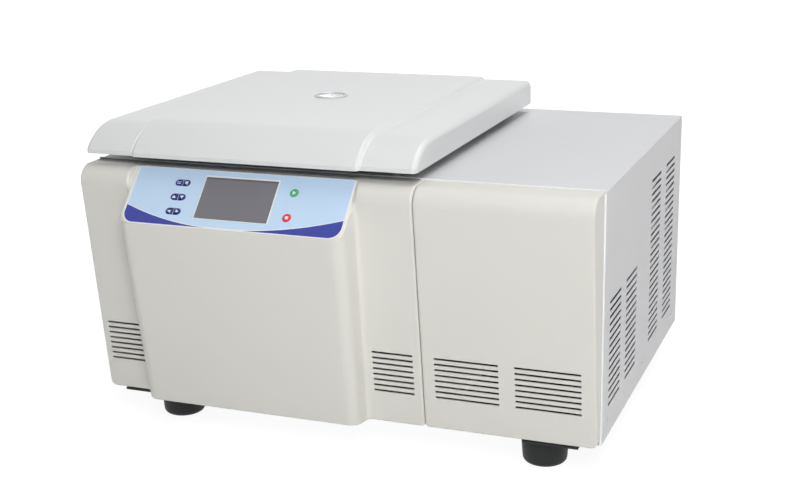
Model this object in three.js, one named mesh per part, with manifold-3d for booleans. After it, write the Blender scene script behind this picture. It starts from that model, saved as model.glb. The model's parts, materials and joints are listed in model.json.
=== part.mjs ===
// A benchtop refrigerated centrifuge. Its rotor chamber is on the left under a hinged lid, and its
// refrigeration unit stands in a bay on the right, behind louvres.
// Lengths are in millimetres: x runs to the right from the cabinet's middle, y to the back from the
// front edge of the sheet covers, and z up from the bench.
import * as THREE from "three";
import { mergeVertices } from "three/addons/utils/BufferGeometryUtils.js";
import Module from "manifold-3d";

const wasm = await Module();
wasm.setup();

// Cabinet
const coverHeight = 350;
const bayWidth = 244.5; // cooling bay, from the joint between the mouldings to the right side
const frontRoom = 81; // front edge of the covers to the bowl's wall
const rearRoom = 89; // bowl's wall to the back of the rear panel
const sheet = 1.5;
const coverFold = 2.4; // outer radius of a folded sheet edge
const seat = 0.3; // gap between two pieces that touch
const overrun = 6; // how far a cutter runs past the face it opens

// Feet, rails and base pan
const footHeight = 43.5;
const footRadius = 32;
const footTopRadius = 31.2;
const footEdge = 8;
const footScrewRadius = 7;
const footScrewDepth = 12;
const leftFootInset = 92.5; // centre of a foot to the cabinet's left side
const rightFootInset = 87.5;
const frontFootInset = 36;
const rearFootInset = 62;
const railHeight = 3.6;
const railWidth = 84;
const railFrontInset = 0.5;
const railRearInset = 12;
const leftRailInset = 14; // from the cabinet's left side to the rail
const rightRailInset = 31;
const panFlange = 22;
const panPlate = 2;

// Rotor chamber
const bowlRadius = 185;
const bowlWall = 1.2;
const bowlDepth = 170;
const bowlFillet = 18;
const bowlFlange = 12.5;
const bowlDrainRadius = 22; // hole in the floor for the spindle
const mouthClearance = 3.8; // between the bowl's wall and the edge of the deck's opening
const coilTubeRadius = 4.8;
const coilPitch = 30;
const coilTurns = 4;
const coilInset = 24; // from the deck down to the first turn
const guardGap = 2.4; // between the coil and the guard ring
const guardWall = 6;
const foamMargin = 51; // bowl's wall to the foam's outside
const foamFloor = 24;

// Drive
const motorRadius = 68;
const motorHeight = 112;
const motorFlangeRadius = 92;
const motorFlange = 6;
const motorBossRadius = 20;
const motorBossHeight = 15;
const motorRibs = 12;
const motorRibDepth = 5;
const motorRibWidth = 8;
const damperRadius = 84;
const damperBore = 52;
const damperHeight = 26;
const spindleRadius = 8;
const spindleSunk = 40; // length of the spindle inside the motor
const spindleShoulderRadius = 14;
const spindleShoulder = 12;
const spindleThreadRadius = 5;
const shaftGap = 0.4;

// Rotor
const rotorRim = 23; // bucket pins to the yoke's rim
const rotorThickness = 24;
const hubRadius = 26;
const hubRise = 6; // hub above the arms
const hubDrop = 12; // hub below the arms
const swingGap = 8; // between a swung bucket and the bowl
const pivotRise = 92; // from the bowl's floor up to the bucket pins
const pinRadius = 5;
const pinGap = 0.3;
const notchSide = 36; // half the gap that a bucket hangs in
const notchClearance = 2.5;
const nutRadius = 20;
const nutHeight = 18;
const nutFlats = 6;

// Buckets
const bucketCount = 4;
const bucketRadius = 31;
const bucketWall = 2.5;
const bucketFloor = 4;
const bucketAbovePin = 26;
const bucketBelowPin = 82;
const bucketFillet = 10;
const bossRadius = 10;
const bossSideGap = 0.8; // between a bucket's boss and the arm beside it
const pinSocketWall = 0.6; // metal left between the pin's socket and the bucket's wall

// Front mouldings
const fasciaLift = 2.3; // lower edge above the covers' lower edge
const fasciaProud = 0.4; // top above the covers' top
const fasciaWall = 3;
const faceReach = 19; // lower edge in front of the covers
const faceLean = THREE.MathUtils.degToRad(6.1);
const rollRadius = 24;
const mouldingEdge = 3;
const seamGap = 0.5;
const bulgeReach = 50;
const bulgeLean = THREE.MathUtils.degToRad(8.8);
const flankWidth = 84.2; // lid's side to the bulge's shoulder
const bulgeSplay = 1.5;
const bulgeStep = 40; // depth of the step that the shoulder and cove are drawn on
const bulgeShoulder = 5;
const bulgeCove = 6;
const bulgeLip = 7;
const panelTilt = THREE.MathUtils.degToRad(46);
const panelReach = 60.7; // centre of the control panel in front of the covers
const panelRise = 317; // the same centre above the covers' lower edge

// Slots
const frontSlotHeight = 2.8;
const frontSlotPitch = 8.3;
const frontSlotCount = 8;
const frontSlotRise = 51; // lowest slot above the covers' lower edge
const wideSlot = 91;
const narrowSlot = 60;
const slotFromRight = 21.6; // right-hand slots to the cabinet's side
const slotColumnGap = 22.5;
const slotFromSeam = 12.5; // slots beside the bulge to the joint
const slotFromLeft = 10.5; // slots beside the bulge to the cabinet's left side
const louvreHeight = 3.8;
const louvreLength = 70;
const louvrePitch = 10.4;
const louvreRise = 43.5;
const shortLouvres = 15;
const tallLouvres = 25;
const shortLouvreStart = 37;
const shortLouvreStep = 102.5;
const tallLouvreRear = 234; // start of the tall louvres in front of the cabinet's back
const tallLouvreStep = 111;

// Control panel
const overlayMargin = 2; // film to the bulge's shoulder
const overlayHeight = 91.6;
const overlayThickness = 0.8;
const overlayTopRound = 4;
const overlayBottomRound = 18;
const displayWidth = 110;
const displayHeight = 64.6;
const displayGlass = 1.6;
const displayRim = 5.4; // moulding under the edge of the display's glass
const displayShift = 2.3; // display's centre above the panel's centre
const keyWidth = 11;
const keyHeight = 10;
const keyPairGap = 1.2;
const keyPitch = 22.9;
const keyColumn = 89.8; // paired keys to the panel's middle line
const roundKeyRadius = 6.2;
const roundKeyColumn = 82.6;
const roundKeyRise = 19.4;
const keyProud = 0.7;
const keyStem = 5.2; // from the panel's surface down to the foot of a key
const keyTravelRoom = 0.9; // between a key's foot and the board
const keyClearance = 0.35;
const boardWidth = 236;
const boardHeight = 66;
const boardThickness = 1.6;
const boardBossRadius = 4;

// Deck, gasket and latch
const deckLip = 2; // front edges of the deck and the cover above their tops
const deckSeamInset = 7; // deck's right edge inside the lid's right edge
const stripWidth = 14.5;
const stripHeight = 1;
const stripSunk = 1.6; // depth of the step in the moulding that the strip lies in
const stripEnd = 2;
const gasketWidth = 12;
const gasketSideInset = 28;
const gasketFrontInset = 38;
const gasketBackMargin = 26; // bowl's wall to the gasket's back edge
const mouthSealWidth = 10;
const latchOffset = 205; // latch to the right of the rotor axis
const latchY = 20;
const strikerWidth = 14;
const strikerPlate = 3;
const strikerFlange = 16;
const strikerDrop = 34;
const strikerWindow = 8;
const strikerWindowRise = 5;
const latchSlotMargin = 2.5;
const boltSide = 6;
const boltLength = 30;
const boltSetback = 3; // bolt's tip behind the striker when it is drawn back
const latchBodyWidth = 34;
const latchBodyHeight = 46;
const latchBodyLength = 52;

// Lid
const lidMargin = 68.5; // bowl's wall to the lid's side
const lidInset = 0.5; // lid's side inside the cabinet's left side
const lidFront = -36;
const lidBackMargin = 62; // bowl's wall to the lid's back
const lidLift = 15.6; // lower edge above the deck
const lidHeight = 37.9;
const lidWall = 3;
const lidFrontRadius = 88;
const lidFrontAngle = THREE.MathUtils.degToRad(50.5);
const lidBackRadius = 12;
const lidSideRadius = 8;
const wingWidth = 80.5; // groove to the lid's side
const lidGrooveWidth = 6;
const lidRaise = 5; // middle field above the wings
const lidBossRadius = 6;
const linerFront = -8;
const linerBackMargin = 33; // bowl's wall to the liner's back edge
const linerFlange = 12;
const dishMargin = 13; // pressed disc of the liner beyond the bowl's wall
const linerDishDepth = 6;
const windowRadius = 21;
const windowRim = 2.35;
const windowRimHeight = 1.6;
const windowSleeve = 3;
const windowGlass = 5;

// Hinge
const hingeSpread = 300;
const hingeInset = 10; // pin in front of the lid's back
const hingeRise = 10; // pin above the deck
const hingeBarRadius = 3.5;
const hingeEyeRadius = 6.8;
const hingeArmWidth = 16;
const hingeArmLength = 66;
const hingeArmPlate = 4.5;
const earThickness = 3;
const earGap = 0.5;
const bracketFoot = 18;
const bracketPlate = 2;

// Refrigeration unit
const bayWallOffset = 2.5; // sheet wall of the bay to the joint between the mouldings
const compressorInset = 140; // compressor's centre to the cabinet's right side
const compressorY = 150;
const compressorRadius = 70;
const compressorHeight = 172;
const compressorFootWidth = 168;
const compressorFoot = 9;
const condenserRear = 48; // condenser's end to the cabinet's back
const condenserLength = 192;
const condenserHeight = 276;
const condenserDepth = 38;
const condenserGap = 4; // condenser to the louvred side
const condenserFins = 18;
const finThickness = 1.8;
const finSpine = 8;
const shroudDepth = 30;
const shroudSide = 190;
const fanRadius = 82;
const fanTipGap = 3;
const fanHub = 20;
const fanBlades = 5;
const fanPitch = THREE.MathUtils.degToRad(34);
const bladeThickness = 2.4;
const bladeWidth = 42;
const fanShaft = 3;
const fanMotorRadius = 24;
const fanMotorLength = 36;
const fanFootWidth = 34;

// Rear panel
const ventInset = 144; // middle of the vents to the cabinet's right side
const ventWidth = 150;
const ventRise = 96;
const ventPitch = 14;
const ventHeight = 5;
const ventCount = 14;
const inletInset = 64; // middle of the inlet to the cabinet's left side
const inletRise = 62;
const inletWidth = 30;
const inletHeight = 62;
const inletDepth = 32;
const inletRim = 3;
const inletRimPlate = 2;
const socketWidth = 24.4;
const socketHeight = 17;
const socketDepth = 21;
const socketDrop = 14; // socket's centre below the module's centre
const prongWidth = 2;
const prongHeight = 4;
const prongLength = 13;
const prongSpread = 14;
const prongLift = 3.2;
const rockerWidth = 14;
const rockerHeight = 20;
const rockerDepth = 9;
const rockerLift = 17; // rocker's centre above the module's centre
const rockerTilt = THREE.MathUtils.degToRad(9);
const rockerGap = 0.6;
const rockerPivotDepth = 8;

// Faces round a full turn
const fine = 32;
const medium = 20;
const coarse = 16;

// Levels and planes that follow from the sizes above
const coverBottom = footHeight + 2 * seat + railHeight;
const deckTop = coverBottom + coverHeight;
const panTop = coverBottom + panPlate;
const lidHalf = bowlRadius + lidMargin;
const cabinetWidth = lidInset + 2 * lidHalf + bayWidth;
const halfWidth = cabinetWidth / 2;
const chamberX = -halfWidth + lidInset + lidHalf; // rotor axis
const chamberY = frontRoom + bowlRadius;
const cabinetDepth = chamberY + bowlRadius + rearRoom;
const seamX = chamberX + lidHalf; // joint between the two mouldings
const bayWallX = seamX + bayWallOffset;
const bowlFloorZ = deckTop + seat - bowlDepth;
const fasciaBottom = coverBottom + fasciaLift;
const fasciaTop = deckTop + fasciaProud;
const lidBottom = deckTop + lidLift;
const lidTop = lidBottom + lidHeight;
const lidBack = chamberY + bowlRadius + lidBackMargin;
const lidGroove = lidHalf - wingWidth; // groove to the lid's middle
const hingeY = lidBack - hingeInset;
const hingeZ = deckTop + hingeRise;
const bulgeHalfWidth = lidHalf - flankWidth;
const overlayWidth = 2 * (bulgeHalfWidth - overlayMargin);
const pivotRadius = bowlRadius - swingGap - bucketBelowPin;
const rotorRadius = pivotRadius + rotorRim;
const pivotZ = bowlFloorZ + pivotRise;
const deckRight = chamberX + lidHalf - deckSeamInset;

const paint = (color, roughness, metalness = 0) =>
  new THREE.MeshStandardMaterial({ color, roughness, metalness });
const finish = {
  moulding: paint(0xd9d8d2, 0.45),
  coverPaint: paint(0xdcdde0, 0.5),
  lidPaint: paint(0xe3e5e6, 0.4),
  blackSteel: paint(0x1a1b1d, 0.5, 0.4),
  rubber: paint(0x17181a, 0.85),
  stainless: paint(0xb9bcc0, 0.3, 1),
  zinc: paint(0xa9acb0, 0.45, 1),
  aluminium: paint(0xc4c7ca, 0.35, 1),
  copper: paint(0xb87348, 0.35, 1),
  foam: paint(0xe6dfc8, 0.95),
  overlay: paint(0xc0d8f0, 0.5),
  glassDark: paint(0x6f6c78, 0.2),
  glassClear: paint(0xdfe8ea, 0.1),
  keyBlue: paint(0x2b3590, 0.5),
  keyGreen: paint(0x50b07a, 0.5),
  keyRed: paint(0xe23a4e, 0.5),
  board: paint(0x1f6b45, 0.6),
  blackPlastic: paint(0x222326, 0.5),
};

// Solids

const solidOf = (geometry) => {
  const bare = geometry.clone();
  bare.deleteAttribute("normal");
  bare.deleteAttribute("uv");
  const merged = mergeVertices(bare, 1e-4);
  return new wasm.Manifold(
    new wasm.Mesh({
      numProp: 3,
      vertProperties: merged.attributes.position.array,
      triVerts: new Uint32Array(merged.index.array),
    }),
  );
};

const geometryOf = (solid) => {
  const mesh = solid.getMesh();
  const geometry = new THREE.BufferGeometry();
  geometry.setAttribute("position", new THREE.BufferAttribute(mesh.vertProperties, 3));
  geometry.setIndex(new THREE.BufferAttribute(mesh.triVerts, 1));
  return geometry;
};

const join = (first, ...others) =>
  geometryOf(others.reduce((sum, other) => sum.add(solidOf(other)), solidOf(first)));
const cut = (first, ...cutters) =>
  geometryOf(cutters.reduce((rest, cutter) => rest.subtract(solidOf(cutter)), solidOf(first)));
const common = (first, second) => geometryOf(solidOf(first).intersect(solidOf(second)));

const block = ([x0, x1], [y0, y1], [z0, z1]) =>
  new THREE.BoxGeometry(x1 - x0, y1 - y0, z1 - z0).translate(
    (x0 + x1) / 2,
    (y0 + y1) / 2,
    (z0 + z1) / 2,
  );

// A round bar standing on (x, y) between two heights.
const post = (radius, [z0, z1], [x, y] = [0, 0], sides = medium) =>
  new THREE.CylinderGeometry(radius, radius, z1 - z0, sides)
    .rotateX(Math.PI / 2)
    .translate(x, y, (z0 + z1) / 2);

const barAlongX = (radius, [x0, x1], [y, z], sides = coarse) =>
  new THREE.CylinderGeometry(radius, radius, x1 - x0, sides)
    .rotateZ(Math.PI / 2)
    .translate((x0 + x1) / 2, y, z);

const barAlongY = (radius, [y0, y1], [x, z], sides = coarse) =>
  new THREE.CylinderGeometry(radius, radius, y1 - y0, sides).translate(x, (y0 + y1) / 2, z);

// A closed profile of [radius, height] points, anticlockwise, turned about the z axis.
const revolve = (profile, sides = medium) => {
  const points = [...profile, profile[0]].map(([radius, z]) => new THREE.Vector2(radius, z));
  return new THREE.LatheGeometry(points, sides).rotateX(Math.PI / 2);
};

const outline = (points) => new THREE.Shape(points.map(([u, v]) => new THREE.Vector2(u, v)));

const extrudeUp = (shape, [z0, z1], curveSegments = 6) =>
  new THREE.ExtrudeGeometry(shape, { depth: z1 - z0, bevelEnabled: false, curveSegments }).translate(
    0,
    0,
    z0,
  );

// An outline drawn in y and z, extruded along x.
const extrudeAcross = (shape, [x0, x1], curveSegments = 6) =>
  new THREE.ExtrudeGeometry(shape, { depth: x1 - x0, bevelEnabled: false, curveSegments })
    .rotateX(Math.PI / 2)
    .rotateZ(Math.PI / 2)
    .translate(x0, 0, 0);

// An outline drawn in x and z, extruded along y.
const extrudeBack = (shape, [y0, y1], curveSegments = 6) =>
  new THREE.ExtrudeGeometry(shape, { depth: y1 - y0, bevelEnabled: false, curveSegments })
    .rotateX(Math.PI / 2)
    .translate(0, y1, 0);

// A rectangle about its middle whose four corners each have a radius, clockwise from top left.
const roundedRectangle = (width, height, [topLeft, topRight, bottomRight, bottomLeft]) => {
  const [x, y] = [width / 2, height / 2];
  const shape = new THREE.Shape();
  shape.moveTo(-x + bottomLeft, -y);
  shape.lineTo(x - bottomRight, -y);
  shape.absarc(x - bottomRight, -y + bottomRight, bottomRight, -Math.PI / 2, 0);
  shape.absarc(x - topRight, y - topRight, topRight, 0, Math.PI / 2);
  shape.absarc(-x + topLeft, y - topLeft, topLeft, Math.PI / 2, Math.PI);
  shape.absarc(-x + bottomLeft, -y + bottomLeft, bottomLeft, Math.PI, (3 * Math.PI) / 2);
  return shape;
};

// A skin through rings of as many points each, closed by a flat cap at either end. Each ring lies in
// a plane of constant x, and its points run anticlockwise in y and z.
const loft = (rings) => {
  const size = rings[0].length;
  const positions = rings.flat(2);
  const index = [];
  for (let ring = 0; ring + 1 < rings.length; ring += 1) {
    for (let point = 0; point < size; point += 1) {
      const next = (point + 1) % size;
      const [a, b] = [ring * size + point, ring * size + next];
      index.push(a, b, b + size, a, b + size, a + size);
    }
  }
  const cap = THREE.ShapeUtils.triangulateShape(
    rings[0].map(([, y, z]) => new THREE.Vector2(y, z)),
    [],
  );
  const farCap = THREE.ShapeUtils.triangulateShape(
    rings.at(-1).map(([, y, z]) => new THREE.Vector2(y, z)),
    [],
  );
  const last = (rings.length - 1) * size;
  cap.forEach(([a, b, c]) => index.push(a, c, b));
  farCap.forEach(([a, b, c]) => index.push(last + a, last + b, last + c));
  const geometry = new THREE.BufferGeometry();
  geometry.setAttribute("position", new THREE.Float32BufferAttribute(positions, 3));
  geometry.setIndex(index);
  return geometry;
};

const steps = (count) => Array.from({ length: count + 1 }, (_, i) => i / count);
const series = (count) => Array.from({ length: count }, (_, i) => i);

const centrifuge = new THREE.Group();
const place = (name, geometry, material, parent = centrifuge) => {
  const mesh = new THREE.Mesh(geometry, material);
  mesh.name = name;
  parent.add(mesh);
  return mesh;
};

// Base

const foot = () => {
  const turned = revolve(
    [
      [footScrewRadius, footScrewDepth],
      [footScrewRadius, 0],
      [footRadius - footEdge, 0],
      [footRadius - footEdge / 4, footEdge / 3],
      [footRadius, footEdge],
      [footTopRadius, footHeight],
      [0, footHeight],
      [0, footScrewDepth],
    ],
    coarse + 4,
  );
  return turned;
};

const feet = {
  foot_front_left: [-halfWidth + leftFootInset, frontFootInset],
  foot_front_right: [halfWidth - rightFootInset, frontFootInset],
  foot_rear_left: [-halfWidth + leftFootInset, cabinetDepth - rearFootInset],
  foot_rear_right: [halfWidth - rightFootInset, cabinetDepth - rearFootInset],
};
Object.entries(feet).forEach(([name, [x, y]]) => {
  place(name, foot(), finish.rubber).position.set(x, y, 0);
});

const rail = (x0) =>
  block(
    [x0, x0 + railWidth],
    [railFrontInset, cabinetDepth - railRearInset],
    [footHeight + seat, footHeight + seat + railHeight],
  );
place("base_rail_left", rail(-halfWidth + leftRailInset), finish.blackSteel);
place("base_rail_right", rail(halfWidth - rightRailInset - railWidth), finish.blackSteel);

const inner = halfWidth - sheet - seat; // inside of the side sheets
const basePan = () => {
  const tray = block([-inner, inner], [0, cabinetDepth - sheet - seat], [coverBottom, coverBottom + panFlange]);
  const hollow = block(
    [-inner + sheet, inner - sheet],
    [sheet, cabinetDepth - 2 * sheet - seat],
    [panTop, coverBottom + panFlange + overrun],
  );
  return cut(tray, hollow);
};
place("base_pan", basePan(), finish.zinc);

// Sheet covers

const louvreColumns = [
  [shortLouvreStart, shortLouvres],
  [shortLouvreStart + shortLouvreStep, shortLouvres],
  [cabinetDepth - tallLouvreRear, tallLouvres],
  [cabinetDepth - tallLouvreRear + tallLouvreStep, tallLouvres],
];
const louvres = () =>
  louvreColumns.flatMap(([y0, count]) =>
    series(count).map((row) => {
      const z = coverBottom + louvreRise + row * louvrePitch;
      return block(
        [halfWidth - sheet - overrun, halfWidth + overrun],
        [y0, y0 + louvreLength],
        [z - louvreHeight / 2, z + louvreHeight / 2],
      );
    }),
  );

const cabinetCover = () => {
  const section = new THREE.Shape();
  section.moveTo(halfWidth, coverBottom);
  section.lineTo(halfWidth, deckTop - coverFold);
  section.absarc(halfWidth - coverFold, deckTop - coverFold, coverFold, 0, Math.PI / 2);
  section.lineTo(deckRight + seat, deckTop);
  section.lineTo(deckRight + seat, deckTop - sheet);
  section.lineTo(halfWidth - coverFold, deckTop - sheet);
  section.absarc(halfWidth - coverFold, deckTop - coverFold, coverFold - sheet, Math.PI / 2, 0, true);
  section.lineTo(halfWidth - sheet, coverBottom);
  const hem = block(
    [deckRight + seat, halfWidth - coverFold],
    [0, sheet],
    [deckTop - sheet, deckTop + deckLip],
  );
  return cut(join(extrudeBack(section, [0, cabinetDepth], 4), hem), ...louvres());
};
place("cabinet_cover", cabinetCover(), finish.coverPaint);

const mouthRadius = bowlRadius + bowlWall + mouthClearance;
const latchX = chamberX + latchOffset;
const strikerY = [latchY - strikerPlate / 2, latchY + strikerPlate / 2];
const latchFront = strikerY[0] - latchSlotMargin - sheet; // front face of the latch's housing
const topDeck = () => {
  const plate = block([-halfWidth, deckRight], [0, cabinetDepth], [deckTop - sheet, deckTop]);
  const lip = block([-halfWidth, deckRight], [0, sheet], [deckTop - sheet, deckTop + deckLip]);
  const mouth = post(mouthRadius, [deckTop - overrun, deckTop + overrun], [chamberX, chamberY], fine);
  const latchSlot = block(
    [latchX - strikerWidth / 2 - latchSlotMargin, latchX + strikerWidth / 2 + latchSlotMargin],
    [strikerY[0] - latchSlotMargin, strikerY[1] + latchSlotMargin],
    [deckTop - overrun, deckTop + overrun],
  );
  return cut(join(plate, lip), mouth, latchSlot);
};
place("top_deck", topDeck(), finish.coverPaint);

const underDeck = deckTop - sheet - seat;
place(
  "left_side_panel",
  block([-halfWidth, -halfWidth + sheet], [0, cabinetDepth], [coverBottom, underDeck]),
  finish.coverPaint,
);

const bayWall = () => {
  const wall = block([bayWallX, bayWallX + sheet], [sheet + seat, cabinetDepth - sheet - 2 * seat - sheet], [
    panTop + seat,
    underDeck,
  ]);
  const pipeHole = barAlongX(
    2 * coilTubeRadius,
    [bayWallX - overrun, bayWallX + sheet + overrun],
    [chamberY, coverBottom + panFlange * 2],
  );
  return cut(wall, pipeHole);
};
place("bay_partition", bayWall(), finish.zinc);

// Rear panel with the exhaust slots and the opening for the power module

const inletZ = coverBottom + inletRise;
const inletX = -halfWidth + inletInset;
const ventX = halfWidth - ventInset;
const rearPanel = () => {
  const plate = block(
    [-inner, inner],
    [cabinetDepth - sheet, cabinetDepth],
    [coverBottom, underDeck],
  );
  const vents = series(ventCount).map((row) => {
    const z = coverBottom + ventRise + row * ventPitch;
    return block(
      [ventX - ventWidth / 2, ventX + ventWidth / 2],
      [cabinetDepth - sheet - overrun, cabinetDepth + overrun],
      [z - ventHeight / 2, z + ventHeight / 2],
    );
  });
  const inletHole = block(
    [inletX - inletWidth / 2 - seat, inletX + inletWidth / 2 + seat],
    [cabinetDepth - sheet - overrun, cabinetDepth + overrun],
    [inletZ - inletHeight / 2 - seat, inletZ + inletHeight / 2 + seat],
  );
  return cut(plate, ...vents, inletHole);
};
place("rear_panel", rearPanel(), finish.coverPaint);

// Power module: a socket for the mains lead below, and the mains switch above it

const rockerZ = inletZ + rockerLift;
const rockerPivotY = cabinetDepth + inletRimPlate - rockerPivotDepth;
const powerInlet = () => {
  const back = cabinetDepth + seat + inletRimPlate;
  const body = block(
    [inletX - inletWidth / 2, inletX + inletWidth / 2],
    [cabinetDepth - inletDepth, back],
    [inletZ - inletHeight / 2, inletZ + inletHeight / 2],
  );
  const rim = block(
    [inletX - inletWidth / 2 - inletRim, inletX + inletWidth / 2 + inletRim],
    [cabinetDepth + seat, back],
    [inletZ - inletHeight / 2 - inletRim, inletZ + inletHeight / 2 + inletRim],
  );
  const socketZ = inletZ - socketDrop;
  const socket = block(
    [inletX - socketWidth / 2, inletX + socketWidth / 2],
    [back - socketDepth, back + overrun],
    [socketZ - socketHeight / 2, socketZ + socketHeight / 2],
  );
  const switchWell = block(
    [inletX - rockerWidth / 2 - rockerGap, inletX + rockerWidth / 2 + rockerGap],
    [rockerPivotY - rockerDepth - rockerGap, back + overrun],
    [rockerZ - rockerHeight / 2 - rockerGap, rockerZ + rockerHeight / 2 + rockerGap],
  );
  const prong = (x, z) =>
    block(
      [inletX + x - prongWidth / 2, inletX + x + prongWidth / 2],
      [back - socketDepth - sheet, back - socketDepth + prongLength],
      [socketZ + z - prongHeight / 2, socketZ + z + prongHeight / 2],
    );
  const prongs = [
    prong(-prongSpread / 2, -prongLift / 2),
    prong(0, prongLift),
    prong(prongSpread / 2, -prongLift / 2),
  ];
  return join(cut(join(body, rim), socket, switchWell), ...prongs);
};
place("power_inlet", powerInlet(), finish.blackPlastic);

// The rocker's face is a shallow V, so that one half stands out while the other is pressed in.
const rocker = () => {
  const [h, d] = [rockerHeight / 2 - rockerGap, rockerPivotDepth];
  const rise = h * Math.tan(rockerTilt);
  const section = outline([
    [-rockerDepth / 2, -h / 2],
    [d - rise / 2, -h],
    [d - rise, 0],
    [d - rise / 2, h],
    [-rockerDepth / 2, h / 2],
  ]);
  return extrudeAcross(section, [-rockerWidth / 2, rockerWidth / 2]);
};
const powerRocker = place("power_rocker", rocker(), finish.blackPlastic);
powerRocker.position.set(inletX, rockerPivotY, rockerZ);
powerRocker.rotation.x = rockerTilt / 2;

// Front mouldings. A section is a profile from the lower edge up to the top; "inset" draws it that
// far inside the outer skin, for the inner skin and for rounded edges.

const faceLine = (reach, lean, z, inset) =>
  -(reach + Math.tan(lean) * (z - fasciaBottom)) + inset / Math.cos(lean);

const rollCentre = {
  z: fasciaTop - rollRadius,
  y: faceLine(faceReach, faceLean, fasciaTop - rollRadius, rollRadius),
};
const flankY = (z, inset) => {
  const radius = rollRadius - inset;
  if (z <= rollCentre.z - radius * Math.sin(faceLean)) {
    return faceLine(faceReach, faceLean, z, inset);
  }
  return rollCentre.y - Math.sqrt(Math.max(radius ** 2 - (z - rollCentre.z) ** 2, 0));
};

const panelZ = coverBottom + panelRise;
const panelLine = (z, inset) =>
  -panelReach + (z - panelZ) / Math.tan(panelTilt) + inset / Math.sin(panelTilt);
const lipCentre = (() => {
  const level = fasciaBottom;
  const gap = faceLine(bulgeReach, bulgeLean, level, bulgeLip) - panelLine(level, bulgeLip);
  const z = level + gap / (Math.tan(bulgeLean) + 1 / Math.tan(panelTilt));
  return { z, y: panelLine(z, bulgeLip) };
})();
const lipEnds = (inset) => {
  const radius = bulgeLip - inset;
  return [lipCentre.z - radius * Math.sin(bulgeLean), lipCentre.z + radius * Math.cos(panelTilt)];
};
const bulgeY = (z, inset) => {
  const radius = bulgeLip - inset;
  const [low, high] = lipEnds(inset);
  if (z <= low) return faceLine(bulgeReach, bulgeLean, z, inset);
  if (z >= high) return panelLine(z, inset);
  return lipCentre.y - Math.sqrt(Math.max(radius ** 2 - (z - lipCentre.z) ** 2, 0));
};

// Heights at which every section has a point, with straight runs between the curved ones.
const sectionHeights = (inset) => {
  const [low, high] = lipEnds(inset);
  const radius = rollRadius - inset;
  const lip = steps(4).map((share) => low + share * (high - low));
  const roll = steps(6).map((share) => {
    const angle = -faceLean + share * (Math.PI / 2 + faceLean);
    return rollCentre.z + radius * Math.sin(angle);
  });
  return [...lip, ...roll];
};

// One ring of a moulding at x: "share" is 0 on a flank and 1 on the bulge.
const mouldingRing = (x, share, inset, back) => {
  const bottom = fasciaBottom + inset;
  const yAt = (z) => flankY(z, inset) + share * (bulgeY(z, inset) - flankY(z, inset));
  const round = Math.max(mouldingEdge - inset, 0.01 * mouldingEdge);
  const lowerEdge = steps(2).map((step) => {
    const angle = (step * Math.PI) / 2;
    const z = bottom + round * (1 - Math.sin(angle));
    return [x, yAt(z) + round * (1 - Math.cos(angle)), z];
  });
  const front = sectionHeights(inset).map((z) => [x, yAt(z), z]);
  const top = front.at(-1)[2];
  return [[x, back, bottom], [x, back, top], ...front.reverse(), ...lowerEdge];
};

// Points along the bulge's side, as [distance from its middle, share], with a rounded shoulder and
// a cove at its root.
const bulgeSide = (inset) => {
  const wall = Math.atan2(bulgeSplay, bulgeStep);
  const along = new THREE.Vector2(Math.sin(wall), -Math.cos(wall));
  const shift = inset / Math.cos(wall);
  const at = (depth) => bulgeHalfWidth + (bulgeStep - depth) * Math.tan(wall) - shift;
  const shoulder = new THREE.Vector2(at(bulgeStep - inset), bulgeStep - inset);
  const root = new THREE.Vector2(at(-inset), -inset);
  const turn = Math.PI / 2 - wall;
  const bend = (corner, before, after, radius, count) => {
    const reach = radius * Math.tan(turn / 2);
    const from = corner.clone().addScaledVector(before, -reach);
    const to = corner.clone().addScaledVector(after, reach);
    const curve = new THREE.QuadraticBezierCurve(from, corner, to);
    return curve.getPoints(count);
  };
  const level = new THREE.Vector2(1, 0);
  return [
    ...bend(shoulder, level, along, bulgeShoulder - inset / 2, 4),
    ...bend(root, along, level, bulgeCove + inset, 3),
  ].map(({ x, y }) => [x, (y + inset) / bulgeStep]);
};

const mouldingSkin = ([x0, x1], hasBulge, inset, back) => {
  const edge = inset > 0 ? [[inset, inset]] : steps(2).map((step) => {
    const angle = (step * Math.PI) / 2;
    return [mouldingEdge * (1 - Math.cos(angle)), mouldingEdge * (1 - Math.sin(angle))];
  });
  const left = edge.map(([along, deep]) => mouldingRing(x0 + along, 0, deep, back));
  const right = edge.map(([along, deep]) => mouldingRing(x1 - along, 0, deep, back)).reverse();
  if (!hasBulge) return loft([...left, ...right]);
  const side = bulgeSide(inset);
  const leftSide = [...side].reverse().map(([t, share]) => mouldingRing(chamberX - t, share, inset, back));
  const rightSide = side.map(([t, share]) => mouldingRing(chamberX + t, share, inset, back));
  return loft([...left, ...leftSide, ...rightSide, ...right]);
};

const frontSlots = (x0, width) =>
  series(frontSlotCount).map((row) => {
    const z = coverBottom + frontSlotRise + row * frontSlotPitch;
    return block(
      [x0, x0 + width],
      [-bulgeReach - bulgeStep, -fasciaWall],
      [z - frontSlotHeight / 2, z + frontSlotHeight / 2],
    );
  });

const mouldingShell = (span, hasBulge) =>
  cut(mouldingSkin(span, hasBulge, 0, -seat), mouldingSkin(span, hasBulge, fasciaWall, overrun));

// Control panel pieces are drawn flat, x to the right and y up the slope, and turned into place.
const panel = new THREE.Group();
panel.position.set(chamberX, -panelReach, panelZ);
panel.rotation.x = panelTilt;
panel.updateMatrix();
centrifuge.add(panel);
const onPanel = (geometry) => geometry.clone().applyMatrix4(panel.matrix);

const keyShape = (grow) => {
  const [w, h] = [keyWidth / 2 + grow, keyHeight / 2 + grow];
  const shape = new THREE.Shape();
  shape.moveTo(-w, -h);
  shape.lineTo(0, -h);
  shape.absellipse(0, 0, w, h, -Math.PI / 2, Math.PI / 2);
  shape.lineTo(-w, h);
  return shape;
};
const roundKeyShape = (grow) => new THREE.Shape().absarc(0, 0, roundKeyRadius + grow, 0, 2 * Math.PI);

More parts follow.
